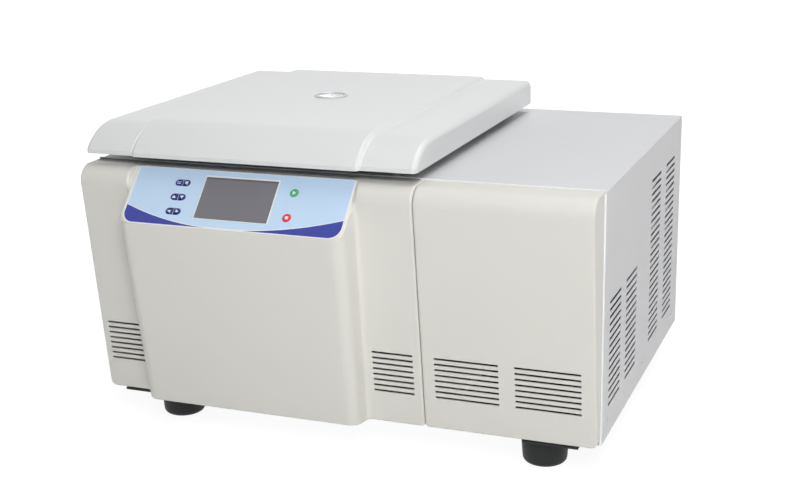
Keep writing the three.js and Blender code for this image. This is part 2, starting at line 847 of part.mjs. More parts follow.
// Each key's place on the panel; the left one of a pair is turned round.
const keyOffset = (keyWidth + keyPairGap) / 2;
const keys = series(3).flatMap((row) => {
  const y = (1 - row) * keyPitch;
  return [
    { name: `key_${row + 1}_left`, x: -keyColumn - keyOffset, y, turn: Math.PI },
    { name: `key_${row + 1}_right`, x: -keyColumn + keyOffset, y, turn: 0 },
  ];
});
const roundKeys = [
  { name: "start_key", x: roundKeyColumn, y: roundKeyRise, material: finish.keyGreen },
  { name: "stop_key", x: roundKeyColumn, y: -roundKeyRise, material: finish.keyRed },
];

const keyHoles = (span) => [
  ...keys.map(({ x, y, turn }) =>
    extrudeUp(keyShape(keyClearance), span, 5).rotateZ(turn).translate(x, y, 0),
  ),
  ...roundKeys.map(({ x, y }) => extrudeUp(roundKeyShape(keyClearance), span, 10).translate(x, y, 0)),
];
const displayOpening = (grow, span) =>
  block(
    [-displayWidth / 2 - grow, displayWidth / 2 + grow],
    [displayShift - displayHeight / 2 - grow, displayShift + displayHeight / 2 + grow],
    span,
  );

const boardTop = -(keyStem + keyTravelRoom);
const bossPlaces = [-1, 1].flatMap((sx) =>
  [-1, 1].map((sy) => [
    sx * (boardWidth / 2 - boardBossRadius),
    sy * (boardHeight / 2 - boardBossRadius),
  ]),
);

// A rubber strip lies in a step along the back of the main moulding's top.
const stripBed = fasciaTop - stripSunk;
const stripLeft = -halfWidth + stripEnd;
const mainFascia = () => {
  const span = [-halfWidth, seamX - seamGap / 2];
  const stripRoom = block(
    [stripLeft, deckRight + seat],
    [-stripWidth - 2 * seat, overrun],
    [stripBed, fasciaTop + overrun],
  );
  const shell = mouldingShell(span, true);
  const through = [-fasciaWall - overrun, overrun];
  const bosses = bossPlaces.map((place) =>
    onPanel(post(boardBossRadius, [boardTop + seat, -fasciaWall / 2], place, 10)),
  );
  const slotRight = seamX - slotFromSeam - narrowSlot;
  const slotLeft = -halfWidth + slotFromLeft;
  return cut(
    join(shell, ...bosses),
    stripRoom,
    ...keyHoles(through).map(onPanel),
    onPanel(displayOpening(-displayRim, through)),
    ...frontSlots(slotRight, narrowSlot),
    ...frontSlots(slotLeft, narrowSlot),
  );
};
place("main_fascia", mainFascia(), finish.moulding);

const sideFascia = () => {
  const span = [seamX + seamGap / 2, halfWidth];
  const right = halfWidth - slotFromRight - wideSlot;
  return cut(
    mouldingShell(span, false),
    ...frontSlots(right, wideSlot),
    ...frontSlots(right - slotColumnGap - wideSlot, wideSlot),
  );
};
place("side_fascia", sideFascia(), finish.moulding);

const overlay = () => {
  const corners = [overlayTopRound, overlayTopRound, overlayBottomRound, overlayBottomRound];
  const sheetFilm = extrudeUp(roundedRectangle(overlayWidth, overlayHeight, corners), [
    seat,
    seat + overlayThickness,
  ]);
  const through = [-overrun, overrun];
  return cut(sheetFilm, ...keyHoles(through), displayOpening(seat, through));
};
place("control_overlay", overlay(), finish.overlay, panel);

place(
  "display_glass",
  displayOpening(0, [seat, seat + displayGlass]),
  finish.glassDark,
  panel,
);

keys.forEach(({ name, x, y, turn }) => {
  const key = place(
    name,
    extrudeUp(keyShape(0), [-keyStem, seat + overlayThickness + keyProud], 5),
    finish.keyBlue,
    panel,
  );
  key.position.set(x, y, 0);
  key.rotation.z = turn;
});
roundKeys.forEach(({ name, x, y, material }) => {
  const key = place(
    name,
    extrudeUp(roundKeyShape(0), [-keyStem, seat + overlayThickness + keyProud], 10),
    material,
    panel,
  );
  key.position.set(x, y, 0);
});

const controlBoard = () => {
  const plate = block(
    [-boardWidth / 2, boardWidth / 2],
    [-boardHeight / 2, boardHeight / 2],
    [boardTop - boardThickness, boardTop],
  );
  const shrink = displayRim + seat;
  const displayCan = block(
    [-displayWidth / 2 + shrink, displayWidth / 2 - shrink],
    [displayShift - displayHeight / 2 + shrink, displayShift + displayHeight / 2 - shrink],
    [boardTop - boardThickness / 2, 0],
  );
  return join(plate, displayCan);
};
place("control_board", controlBoard(), finish.board, panel);

// Chamber

const bowl = () => {
  const floor = bowlFloorZ;
  const rim = deckTop + seat;
  const fillet = (radius, from, to) =>
    steps(4).map((share) => {
      const angle = from + share * (to - from);
      return [
        bowlRadius - bowlFillet + radius * Math.cos(angle),
        floor + bowlFillet + radius * Math.sin(angle),
      ];
    });
  const outerRadius = bowlFillet + bowlWall;
  return revolve(
    [
      [bowlDrainRadius, floor - bowlWall],
      ...fillet(outerRadius, -Math.PI / 2, 0),
      [bowlRadius + bowlWall, rim],
      [bowlRadius + bowlFlange, rim],
      [bowlRadius + bowlFlange, rim + bowlWall],
      [bowlRadius, rim + bowlWall],
      ...fillet(bowlFillet, 0, -Math.PI / 2),
      [bowlDrainRadius, floor],
    ],
    fine,
  ).translate(chamberX, chamberY, 0);
};
place("chamber_bowl", bowl(), finish.stainless);

const coilRadius = bowlRadius + bowlWall + seat + coilTubeRadius;
class Helix extends THREE.Curve {
  constructor(radius, pitch, turns, z0) {
    super();
    Object.assign(this, { radius, pitch, turns, z0 });
  }
  getPoint(share, target = new THREE.Vector3()) {
    const angle = share * this.turns * 2 * Math.PI;
    return target.set(
      this.radius * Math.cos(angle),
      this.radius * Math.sin(angle),
      this.z0 + share * this.turns * this.pitch,
    );
  }
}

const roundSection = (radius, sides) =>
  outline(series(sides).map((i) => {
    const angle = (2 * Math.PI * i) / sides;
    return [radius * Math.cos(angle), radius * Math.sin(angle)];
  }));
const tube = (curve, radius, sides, count) =>
  new THREE.ExtrudeGeometry(roundSection(radius, sides), { steps: count, extrudePath: curve });

const chordSlack = coilRadius * (1 / Math.cos(Math.PI / coarse) - 1);
const evaporatorCoil = () => {
  const top = deckTop - coilInset;
  const helix = new Helix(coilRadius + chordSlack, coilPitch, coilTurns, top - coilTurns * coilPitch);
  return tube(helix, coilTubeRadius, 6, coilTurns * coarse).translate(chamberX, chamberY, 0);
};
place("evaporator_coil", evaporatorCoil(), finish.copper);

const guardRadius = coilRadius + chordSlack + coilTubeRadius + guardGap;
const foamBottom = bowlFloorZ - bowlWall - seat - foamFloor;
const foamTop = foamBottom + foamFloor;
const foamSide = 2 * (bowlRadius + foamMargin);
const guardRing = () =>
  revolve(
    [
      [guardRadius, foamTop + seat],
      [guardRadius + guardWall, foamTop + seat],
      [guardRadius + guardWall, underDeck - seat],
      [guardRadius, underDeck - seat],
    ],
    fine,
  ).translate(chamberX, chamberY, 0);
place("guard_ring", guardRing(), finish.blackSteel);

const insulation = () => {
  const slab = block(
    [chamberX - foamSide / 2, chamberX + foamSide / 2],
    [chamberY - foamSide / 2, chamberY + foamSide / 2],
    [foamBottom, underDeck],
  );
  const foamBore = guardRadius + guardWall + seat;
  const well = post(foamBore, [foamTop, underDeck + overrun], [chamberX, chamberY], fine);
  const neck = post(
    motorBossRadius + overrun,
    [foamBottom - overrun, foamTop + overrun],
    [chamberX, chamberY],
  );
  const latchRecess = block(
    [latchX - latchBodyWidth / 2 - seat, latchX + latchBodyWidth / 2 + seat],
    [latchFront - seat, latchFront + latchBodyLength + seat],
    [underDeck - latchBodyHeight - seat, underDeck + overrun],
  );
  return cut(slab, well, neck, latchRecess);
};
place("insulation", insulation(), finish.foam);

const gasketTop = lidBottom - seat;
const gasketBack = chamberY + bowlRadius + gasketBackMargin;
const gasketRight = chamberX + lidHalf - gasketSideInset;
const gasketLeft = -halfWidth + gasketSideInset;
const lidGasket = () => {
  const outer = block([gasketLeft, gasketRight], [gasketFrontInset, gasketBack], [deckTop + seat, gasketTop]);
  const hollow = block(
    [gasketLeft + gasketWidth, gasketRight - gasketWidth],
    [gasketFrontInset + gasketWidth, gasketBack - gasketWidth],
    [deckTop, lidBottom],
  );
  return cut(outer, hollow);
};
place("lid_gasket", lidGasket(), finish.rubber);

const frontStrip = block(
  [stripLeft + seat, deckRight],
  [-seat - stripWidth, -seat],
  [stripBed + seat, stripBed + seat + stripHeight],
);
place("fascia_strip", frontStrip, finish.rubber);

const mouthSeal = () => {
  const [inside, outside] = [bowlRadius + sheet, bowlRadius + sheet + mouthSealWidth];
  const [low, high] = [deckTop + 2 * seat + bowlWall, lidBottom - linerDishDepth - seat];
  return revolve(
    [
      [inside, low],
      [outside, low],
      [outside, (low + high) / 2],
      [(inside + outside) / 2, high],
      [inside, (low + high) / 2],
    ],
    fine,
  ).translate(chamberX, chamberY, 0);
};
place("mouth_seal", mouthSeal(), finish.rubber);

// Drive, from the pan up to the rotor's nut

const damperTop = panTop + seat + damperHeight;
const motorBottom = damperTop + seat;
const motorTop = motorBottom + motorFlange + motorHeight;
const bossTop = motorTop + motorBossHeight;
const drive = new THREE.Group();
drive.position.set(chamberX, chamberY, 0);
centrifuge.add(drive);

const motorDamper = revolve(
  [
    [damperBore, panTop + seat],
    [damperRadius, panTop + seat],
    [damperRadius - motorFlange, panTop + damperHeight / 2],
    [damperRadius, damperTop],
    [damperBore, damperTop],
  ],
  medium,
);
place("motor_damper", motorDamper, finish.rubber, drive);

const motor = () => {
  const boreRadius = spindleRadius + shaftGap;
  const body = revolve(
    [
      [0, motorBottom],
      [motorFlangeRadius, motorBottom],
      [motorFlangeRadius, motorBottom + motorFlange],
      [motorRadius, motorBottom + motorFlange],
      [motorRadius, motorTop],
      [motorBossRadius, motorTop],
      [motorBossRadius, bossTop],
      [boreRadius, bossTop],
      [boreRadius, bossTop - spindleSunk - seat],
      [0, bossTop - spindleSunk - seat],
    ],
    medium,
  );
  const grooves = series(motorRibs).map((i) =>
    block(
      [motorRadius - motorRibDepth, motorRadius + overrun],
      [-motorRibWidth / 2, motorRibWidth / 2],
      [motorBottom + motorFlange + motorRibWidth, motorTop - motorRibWidth],
    ).rotateZ((2 * Math.PI * i) / motorRibs),
  );
  return cut(body, ...grooves);
};
place("drive_motor", motor(), finish.aluminium, drive);

const armsBottom = pivotZ - rotorThickness / 2;
const armsTop = pivotZ + rotorThickness / 2;
const hubBottom = armsBottom - hubDrop;
const hubTop = armsTop + hubRise;
const nutTop = hubTop + seat + nutHeight;
const spindle = revolve(
  [
    [0, bossTop - spindleSunk],
    [spindleRadius, bossTop - spindleSunk],
    [spindleRadius, hubBottom - seat - spindleShoulder],
    [spindleShoulderRadius, hubBottom - seat - spindleShoulder],
    [spindleShoulderRadius, hubBottom - seat],
    [spindleRadius, hubBottom - seat],
    [spindleRadius, hubTop],
    [spindleThreadRadius, hubTop],
    [spindleThreadRadius, nutTop - spindleThreadRadius],
    [0, nutTop - spindleThreadRadius],
  ],
  coarse,
);
place("spindle", spindle, finish.stainless, drive);

// The yoke is a round plate with a gap for each bucket, and a pin on each side of every gap.
const rotorYoke = () => {
  const sweep = Math.hypot(bucketAbovePin, bucketRadius);
  const notchInner = pivotRadius - sweep - notchClearance;
  const plate = post(rotorRadius, [armsBottom, armsTop], [0, 0], fine);
  const hub = revolve(
    [
      [0, hubBottom],
      [hubRadius, hubBottom],
      [hubRadius + hubDrop, armsBottom],
      [hubRadius + hubDrop, armsTop],
      [hubRadius, hubTop],
      [0, hubTop],
    ],
    medium,
  );
  const bore = post(spindleRadius + shaftGap, [hubBottom - overrun, hubTop + overrun], [0, 0], coarse);
  const turns = series(bucketCount).map((i) => (2 * Math.PI * i) / bucketCount);
  const notches = turns.map((turn) =>
    block(
      [notchInner, rotorRadius + overrun],
      [-notchSide, notchSide],
      [armsBottom - overrun, armsTop + overrun],
    ).rotateZ(turn),
  );
  const pinTip = bucketRadius + pinSocketWall + pinGap;
  const pins = turns.flatMap((turn) =>
    [-1, 1].map((side) => {
      const [near, far] = [side * pinTip, side * (notchSide + pinRadius)];
      const ends = [Math.min(near, far), Math.max(near, far)];
      return barAlongY(pinRadius, ends, [pivotRadius, pivotZ], 12).rotateZ(turn);
    }),
  );
  return join(cut(join(plate, hub), ...notches, bore), ...pins);
};
place("rotor_yoke", rotorYoke(), finish.aluminium, drive);

const rotorNut = () => {
  const grip = post(nutRadius, [hubTop + seat, nutTop], [0, 0], nutFlats * 2);
  const thread = post(
    spindleThreadRadius + shaftGap,
    [hubTop - overrun, nutTop - spindleThreadRadius + shaftGap],
    [0, 0],
    coarse,
  );
  return cut(grip, thread);
};
place("rotor_nut", rotorNut(), finish.blackPlastic, drive);

// A bucket hangs on two pins: each boss has a socket that is open below, so that it lifts off.
const bucket = () => {
  const bottom = -bucketBelowPin;
  const cup = revolve(
    [
      [0, bottom],
      [bucketRadius - bucketFillet, bottom],
      [bucketRadius - bucketFillet * (1 - Math.SQRT1_2), bottom + bucketFillet * (1 - Math.SQRT1_2)],
      [bucketRadius, bottom + bucketFillet],
      [bucketRadius, bucketAbovePin],
      [bucketRadius - bucketWall, bucketAbovePin],
      [bucketRadius - bucketWall, bottom + bucketFillet],
      [bucketRadius - bucketFillet, bottom + bucketFloor],
      [0, bottom + bucketFloor],
    ],
    coarse + 4,
  );
  const bossEnd = notchSide - bossSideGap;
  const hollow = post(bucketRadius - bucketWall / 2, [bottom, bucketAbovePin + overrun], [0, 0], coarse + 4);
  const bosses = cut(barAlongY(bossRadius, [-bossEnd, bossEnd], [0, 0], 14), hollow);
  const sockets = [-1, 1].flatMap((side) => {
    const depth = [bucketRadius + pinSocketWall, bossEnd + overrun].map((y) => side * y);
    const ends = [Math.min(...depth), Math.max(...depth)];
    const radius = (pinRadius + pinGap) / Math.cos(Math.PI / 12);
    return [
      barAlongY(radius, ends, [0, 0], 12),
      block([-radius, radius], ends, [-bossRadius - overrun, 0]),
    ];
  });
  const pieces = solidOf(bosses).decompose().map(geometryOf);
  return cut(join(cup, ...pieces), ...sockets);
};
series(bucketCount).forEach((i) => {
  const arm = new THREE.Group();
  arm.rotation.z = (2 * Math.PI * i) / bucketCount;
  drive.add(arm);
  place(`bucket_${i + 1}`, bucket(), finish.stainless, arm).position.set(pivotRadius, 0, pivotZ);
});

// Lid: a moulded shell over a pressed steel liner

const lidRing = (x, inset, bottom) => {
  const radius = lidFrontRadius - inset;
  const top = lidTop - inset;
  const arcY = lidFront + lidFrontRadius * Math.sin(lidFrontAngle);
  const turn = Math.acos((lidFrontRadius * Math.cos(lidFrontAngle)) / radius);
  const arc = steps(6).map((share) => {
    const angle = share * turn;
    return [x, arcY - radius * Math.sin(angle), lidTop - lidFrontRadius + radius * Math.cos(angle)];
  });
  const backRadius = Math.max(lidBackRadius - inset, overrun / 2);
  const backFace = lidBack - Math.max(inset, 0);
  const backArc = steps(3).map((share) => {
    const angle = (share * Math.PI) / 2;
    return [
      x,
      backFace - backRadius * (1 - Math.cos(angle)),
      top - backRadius * (1 - Math.sin(angle)),
    ];
  });
  return [[x, backFace, bottom], ...backArc, ...arc, [x, arc.at(-1)[1], bottom]];
};

// Across the groove, as shares of its width and of the height that it steps up.
const grooveShares = [
  [-1, 1],
  [-0.4, 0.8],
  [0.2, 0.1],
  [0.6, -0.25],
  [1, 0],
];
const lidSkin = (inset, bottom) => {
  const edge = inset > 0 ? [[inset, inset]] : steps(3).map((step) => {
    const angle = (step * Math.PI) / 2;
    return [lidSideRadius * (1 - Math.cos(angle)), lidSideRadius * (1 - Math.sin(angle))];
  });
  const half = [
    ...grooveShares.map(([across, up]) => [lidGroove + across * lidGrooveWidth, inset - up * lidRaise]),
    ...edge.map(([along, deep]) => [lidHalf - along, deep]).reverse(),
  ];
  const left = [...half].reverse().map(([t, deep]) => lidRing(chamberX - t, deep, bottom));
  const right = half.map(([t, deep]) => lidRing(chamberX + t, deep, bottom));
  return loft([...left, ...right]);
};

const lidMiddleTop = lidTop + lidRaise;
const linerTop = lidBottom + sheet;
const linerBack = chamberY + bowlRadius + linerBackMargin;
const linerDish = bowlRadius + dishMargin;
const lidCentre = [chamberX, chamberY];
const sleeveRadius = windowRadius + windowSleeve;
const lidShell = () => {
  const outer = lidSkin(0, lidBottom);
  const shell = cut(outer, lidSkin(lidWall, lidBottom - overrun));
  const xs = [-lidGroove - lidHalf, lidGroove + lidHalf].map((x) => chamberX + x / 2);
  const ys = [linerFront + lidFrontRadius / 2, (linerFront + linerBack) / 2, linerBack - lidFrontRadius / 2];
  const bosses = xs.flatMap((x) =>
    ys.map((y) => post(lidBossRadius, [linerTop + seat, lidTop - lidWall / 2], [x, y], 10)),
  );
  const hole = post(sleeveRadius + seat, [lidBottom, lidMiddleTop + overrun], lidCentre, fine);
  return cut(join(shell, ...bosses), hole);
};
place("lid_shell", lidShell(), finish.lidPaint);

const lidLiner = () => {
  const side = lidHalf - lidWall - seat;
  const pan = block(
    [chamberX - side, chamberX + side],
    [linerFront, linerBack],
    [lidBottom, lidBottom + linerFlange],
  );
  const hollow = block(
    [chamberX - side + sheet, chamberX + side - sheet],
    [linerFront + sheet, linerBack + overrun],
    [linerTop, lidBottom + linerFlange + overrun],
  );
  const dish = post(linerDish, [lidBottom - linerDishDepth, linerTop], [chamberX, chamberY], fine);
  const dishHollow = post(
    linerDish - sheet,
    [linerTop - linerDishDepth, linerTop + overrun],
    [chamberX, chamberY],
    fine,
  );
  const sight = post(windowRadius, [lidBottom - overrun - linerDishDepth, linerTop + overrun], lidCentre);
  return cut(join(cut(pan, hollow), dish), dishHollow, sight);
};
place("lid_liner", lidLiner(), finish.stainless);

// The window's ring carries a sleeve down to the liner, and its glass lies on a step inside.
const rimTop = lidMiddleTop + windowRimHeight;
const glassTop = rimTop - windowRimHeight / 2;
const windowRing = () => {
  const low = linerTop - linerDishDepth + seat;
  const step = glassTop - windowGlass - seat;
  return revolve(
    [
      [windowRadius - windowSleeve, low],
      [sleeveRadius, low],
      [sleeveRadius, lidMiddleTop + seat],
      [sleeveRadius + windowRim, lidMiddleTop + seat],
      [sleeveRadius + windowRim - windowRimHeight, rimTop],
      [windowRadius + seat, rimTop],
      [windowRadius + seat, step],
      [windowRadius - windowSleeve, step],
    ],
    fine,
  ).translate(...lidCentre, 0);
};
place("window_ring", windowRing(), finish.aluminium);
place(
  "window_glass",
  post(windowRadius, [glassTop - windowGlass, glassTop], lidCentre, fine),
  finish.glassClear,
);

const strikerTop = lidBottom - seat;
const lidStriker = () => {
  const flange = block(
    [latchX - strikerFlange + seat, latchX + strikerFlange - seat],
    [latchY - strikerPlate / 2, latchY + strikerFlange],
    [strikerTop - strikerPlate, strikerTop],
  );
  const tongue = block(
    [latchX - strikerWidth / 2, latchX + strikerWidth / 2],
    strikerY,
    [strikerTop - strikerDrop, strikerTop],
  );
  const low = strikerTop - strikerDrop + strikerWindowRise;
  const opening = block(
    [latchX - strikerWindow / 2, latchX + strikerWindow / 2],
    [strikerY[0] - overrun, strikerY[1] + overrun],
    [low, low + strikerWindow],
  );
  return cut(join(flange, tongue), opening);
};
place("lid_striker", lidStriker(), finish.zinc);

const boltZ = strikerTop - strikerDrop + strikerWindowRise + strikerWindow / 2;
const boltTip = strikerY[1] + boltSetback;
const latchHousing = () => {
  const body = block(
    [latchX - latchBodyWidth / 2, latchX + latchBodyWidth / 2],
    [latchFront, latchFront + latchBodyLength],
    [underDeck - latchBodyHeight, underDeck],
  );
  const well = block(
    [latchX - strikerWidth / 2 - latchSlotMargin, latchX + strikerWidth / 2 + latchSlotMargin],
    [strikerY[0] - latchSlotMargin, boltTip],
    [underDeck - latchBodyHeight + sheet, underDeck + overrun],
  );
  const guide = block(
    [latchX - boltSide / 2 - seat, latchX + boltSide / 2 + seat],
    [strikerY[1], boltTip + boltLength + seat],
    [boltZ - boltSide / 2 - seat, boltZ + boltSide / 2 + seat],
  );
  return cut(body, well, guide);
};
place("latch_housing", latchHousing(), finish.blackPlastic);
place(
  "latch_bolt",
  block(
    [latchX - boltSide / 2, latchX + boltSide / 2],
    [boltTip, boltTip + boltLength],
    [boltZ - boltSide / 2, boltZ + boltSide / 2],
  ),
  finish.zinc,
);

// Hinge: two brackets on the deck, two arms on the liner, and a torsion bar through all four that
// is both their pin and the spring that carries the lid's weight

const hingeXs = { left: chamberX - hingeSpread / 2, right: chamberX + hingeSpread / 2 };
const eyeBore = hingeBarRadius + seat;
const eyeOutline = (radius, footPoints) => {
  const shape = new THREE.Shape();
  const [first, ...rest] = footPoints;
  shape.moveTo(...first);
  rest.forEach((point) => shape.lineTo(...point));
  shape.absarc(0, 0, radius, 0, Math.PI);
  return shape;
};
const hingeBracket = (x) => {
  const reach = hingeArmWidth / 2 + earGap + earThickness;
  const ear = (x0) => {
    const section = eyeOutline(hingeEyeRadius, [
      [-hingeEyeRadius, -hingeRise + seat],
      [hingeEyeRadius / 2, -hingeRise + seat],
    ]);
    return extrudeAcross(section, [x0, x0 + earThickness], 8).translate(0, hingeY, hingeZ);
  };
  const plate = block(
    [x - reach, x + reach],
    [hingeY - hingeEyeRadius - bracketFoot, hingeY],
    [deckTop + seat, deckTop + seat + bracketPlate],
  );
  const bore = barAlongX(eyeBore, [x - reach - overrun, x + reach + overrun], [hingeY, hingeZ]);
  return cut(join(plate, ear(x - reach), ear(x + reach - earThickness)), bore);
};
const hingeArm = (x) => {
  const span = [x - hingeArmWidth / 2, x + hingeArmWidth / 2];
  const barBottom = linerTop + seat;
  const bar = block(span, [hingeY - hingeArmLength, hingeY], [barBottom, barBottom + hingeArmPlate]);
  const neck = block(span, [hingeY - hingeEyeRadius, hingeY], [hingeZ, barBottom + hingeArmPlate]);
  const eye = barAlongX(hingeEyeRadius, span, [hingeY, hingeZ]);
  const bore = barAlongX(eyeBore, [span[0] - overrun, span[1] + overrun], [hingeY, hingeZ]);
  return cut(join(bar, neck, eye), bore);
};
Object.entries(hingeXs).forEach(([side, x]) => {
  place(`hinge_bracket_${side}`, hingeBracket(x), finish.blackSteel);
  place(`hinge_arm_${side}`, hingeArm(x), finish.zinc);
});
const barReach = hingeSpread / 2 + hingeArmWidth;
place(
  "hinge_torsion_bar",
  barAlongX(hingeBarRadius, [chamberX - barReach, chamberX + barReach], [hingeY, hingeZ]),
  finish.stainless,
);

// Refrigeration unit

const compressorX = halfWidth - compressorInset;
const compressor = () => {
  const footTop = panTop + seat + compressorFoot;
  const footPlate = block(
    [-compressorFootWidth / 2, compressorFootWidth / 2],
    [-compressorRadius, compressorRadius],
    [panTop + seat, footTop],
  );
  const top = footTop + compressorHeight;
  const dome = steps(3).map((share) => {
    const angle = (share * Math.PI) / 2;
    return [
      compressorRadius * (0.45 + 0.55 * Math.cos(angle)),
      top - compressorRadius * 0.35 * (1 - Math.sin(angle)),
    ];
  });
  const shell = revolve(
    [
      [0, footTop - compressorFoot / 2],
      [compressorRadius * 0.8, footTop - compressorFoot / 2],
      [compressorRadius, footTop + compressorHeight * 0.15],
      [compressorRadius, footTop + compressorHeight * 0.5],
      ...dome,
      [0, top],
    ],
    medium,
  );
  return join(footPlate, shell).translate(compressorX, compressorY, 0);
};
place("compressor", compressor(), finish.blackSteel);

const condenserBack = inner - condenserGap;
const condenserFront = cabinetDepth - condenserRear - condenserLength;
const condenser = () => {
  const pitch = (condenserHeight - finThickness) / (condenserFins - 1);
  const x0 = condenserBack - condenserDepth;
  const low = panTop + seat;
  const fins = series(condenserFins).map((i) => [low + i * pitch, low + i * pitch + finThickness]);
  const spine = [x0 + (condenserDepth - finSpine) / 2, x0 + (condenserDepth + finSpine) / 2];
  const rightSide = fins.flatMap(([a, b]) => [
    [spine[1], a],
    [condenserBack, a],
    [condenserBack, b],
    [spine[1], b],
  ]);
  const leftSide = [...fins].reverse().flatMap(([a, b]) => [
    [spine[0], b],
    [x0, b],
    [x0, a],
    [spine[0], a],
  ]);
  const points = [...rightSide, ...leftSide];
  return extrudeBack(outline(points), [condenserFront, condenserFront + condenserLength]);
};
place("condenser", condenser(), finish.aluminium);

const shroudX = condenserBack - condenserDepth - seat - shroudDepth;
const fanCentre = [condenserFront + condenserLength / 2, panTop + condenserHeight / 2];
const fanShroud = () => {
  const [y, z] = fanCentre;
  const frame = block(
    [shroudX, shroudX + shroudDepth],
    [y - shroudSide / 2, y + shroudSide / 2],
    [panTop + seat, z + shroudSide / 2],
  );
  const bore = barAlongX(fanRadius + fanTipGap, [shroudX - overrun, shroudX + shroudDepth + overrun], [y, z], fine);
  return cut(frame, bore);
};
place("fan_shroud", fanShroud(), finish.blackPlastic);

const fan = new THREE.Group();
fan.position.set(shroudX + shroudDepth / 2, ...fanCentre);
centrifuge.add(fan);
const fanRotor = () => {
  const hub = barAlongX(fanHub, [-shroudDepth / 2, shroudDepth / 2 - seat], [0, 0], medium);
  const blade = block(
    [-bladeThickness / 2, bladeThickness / 2],
    [-bladeWidth / 2, bladeWidth / 2],
    [fanHub / 2, fanRadius],
  ).rotateZ(fanPitch);
  const reach = barAlongX(fanRadius, [-shroudDepth / 2, shroudDepth / 2 - seat], [0, 0], medium);
  const trimmed = common(blade, reach);
  const blades = series(fanBlades).map((i) => trimmed.clone().rotateX((2 * Math.PI * i) / fanBlades));
  const bore = barAlongX(
    fanShaft + shaftGap,
    [-shroudDepth / 2 - overrun, 0],
    [0, 0],
    12,
  );
  return cut(join(hub, ...blades), bore);
};
place("fan_rotor", fanRotor(), finish.blackPlastic, fan);

const fanMotor = () => {
  const back = -shroudDepth / 2 - seat;
  const can = barAlongX(fanMotorRadius, [back - fanMotorLength, back], [0, 0], medium);
  const shaft = barAlongX(fanShaft, [back - fanMotorLength / 2, -shaftGap], [0, 0], 12);
  const stand = block(
    [back - fanMotorLength, back - fanMotorLength / 2],
    [-fanFootWidth / 2, fanFootWidth / 2],
    [panTop + seat - fanCentre[1], 0],
  );
  return join(can, shaft, stand);
};
place("fan_motor", fanMotor(), finish.zinc, fan);

// The origin is on the bench, under the middle of the whole machine.
const extent = new THREE.Box3().setFromObject(centrifuge);
const middle = extent.getCenter(new THREE.Vector3());
centrifuge.position.set(-middle.x, -middle.y, 0);

export default centrifuge;
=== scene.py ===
# %% [markdown]
# # A refrigerated centrifuge
# The packed model comes first. It gives every solid its place in metres, with the bench at height
# zero, so nothing here has to be fitted by eye.
# %% Load the packed model
import json
import math

import bmesh
import bpy
import numpy as np
from mathutils import Matrix, Vector


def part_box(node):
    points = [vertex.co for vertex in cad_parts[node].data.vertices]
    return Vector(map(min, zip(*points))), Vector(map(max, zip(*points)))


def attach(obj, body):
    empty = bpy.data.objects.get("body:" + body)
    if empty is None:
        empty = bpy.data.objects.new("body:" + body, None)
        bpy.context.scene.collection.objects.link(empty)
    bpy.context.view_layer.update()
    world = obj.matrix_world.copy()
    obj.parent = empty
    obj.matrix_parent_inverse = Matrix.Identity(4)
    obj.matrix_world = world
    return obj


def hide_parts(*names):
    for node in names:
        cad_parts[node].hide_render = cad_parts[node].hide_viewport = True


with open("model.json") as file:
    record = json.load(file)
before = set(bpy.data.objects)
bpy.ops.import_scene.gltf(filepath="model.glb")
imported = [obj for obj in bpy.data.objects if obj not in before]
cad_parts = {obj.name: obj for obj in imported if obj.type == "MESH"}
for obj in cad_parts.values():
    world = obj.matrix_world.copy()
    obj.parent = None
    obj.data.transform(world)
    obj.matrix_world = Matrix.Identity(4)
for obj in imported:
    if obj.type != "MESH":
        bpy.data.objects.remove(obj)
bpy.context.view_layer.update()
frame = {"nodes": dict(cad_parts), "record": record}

# %% [markdown]
# ## Where things are
# Such a machine is drawn in millimetres, so its shapes are worked out in millimetres here too, and
# turned to metres when they become meshes. Places could be typed in, but they are read from the
# packed solids, so that a piece stays in its seat if a size of the machine changes.
# %% Measure the frame
MM = 0.001


def corners(node):
    """Lowest and highest corner of a packed solid, in millimetres."""
    return [np.array(corner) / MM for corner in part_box(node)]


def middle(node):
    """Centre of a packed solid's box in millimetres: half the sum of its corners."""
    return sum(corners(node)) / 2


HEM = 2.0  # how far the cover's front fold stands above its top
cover_low, cover_high = corners("cabinet_cover")
cabinet_left, cabinet_right = corners("left_side_panel")[0][0], cover_high[0]
sheet_front, sheet_back = cover_low[1], cover_high[1]
cover_bottom, deck_top = cover_low[2], cover_high[2] - HEM
chamber_x, chamber_y = middle("window_glass")[:2]
body_of = {
    node: name
    for name, members in frame["record"]["behaviour"]["bodies"].items()
    for node in members
}
slot_of = {part["node"]: part["material_slot"] for part in frame["record"]["subparts"]}
print("cabinet:", cabinet_right - cabinet_left, "x", sheet_back - sheet_front, "mm")

# %% [markdown]
# ## The camera
# The picture was taken from the front right, a little above the lid. A camera could be moved by
# hand until the outlines agree, but its lens, place and turn were fitted to the cabinet's corners,
# so that straight edges run to the same points as on the real machine.
# %% Camera
YAW, PITCH, ROLL_TURN = 0.377, -0.2815, -0.0234
SENSOR, LENS, NEAREST, FARTHEST = 36.0, 61.59, 0.05, 60.0
CAMERA_PLACE = (0.7516, -1.8886, 0.8149)
ahead = np.array(
    [-math.sin(YAW) * math.cos(PITCH), math.cos(YAW) * math.cos(PITCH), math.sin(PITCH)]
)
level = np.array([math.cos(YAW), math.sin(YAW), 0.0])
upright = np.cross(level, ahead)
across = math.cos(ROLL_TURN) * level + math.sin(ROLL_TURN) * upright
upward = -math.sin(ROLL_TURN) * level + math.cos(ROLL_TURN) * upright
camera_turn = Matrix(np.column_stack([across, upward, -ahead]).tolist()).to_4x4()
camera = bpy.data.objects.new("camera", bpy.data.cameras.new("camera"))
camera.data.sensor_width, camera.data.lens = SENSOR, LENS
camera.data.clip_start, camera.data.clip_end = NEAREST, FARTHEST
camera.matrix_world = Matrix.Translation(CAMERA_PLACE) @ camera_turn
bpy.context.collection.objects.link(camera)
bpy.context.scene.camera = camera
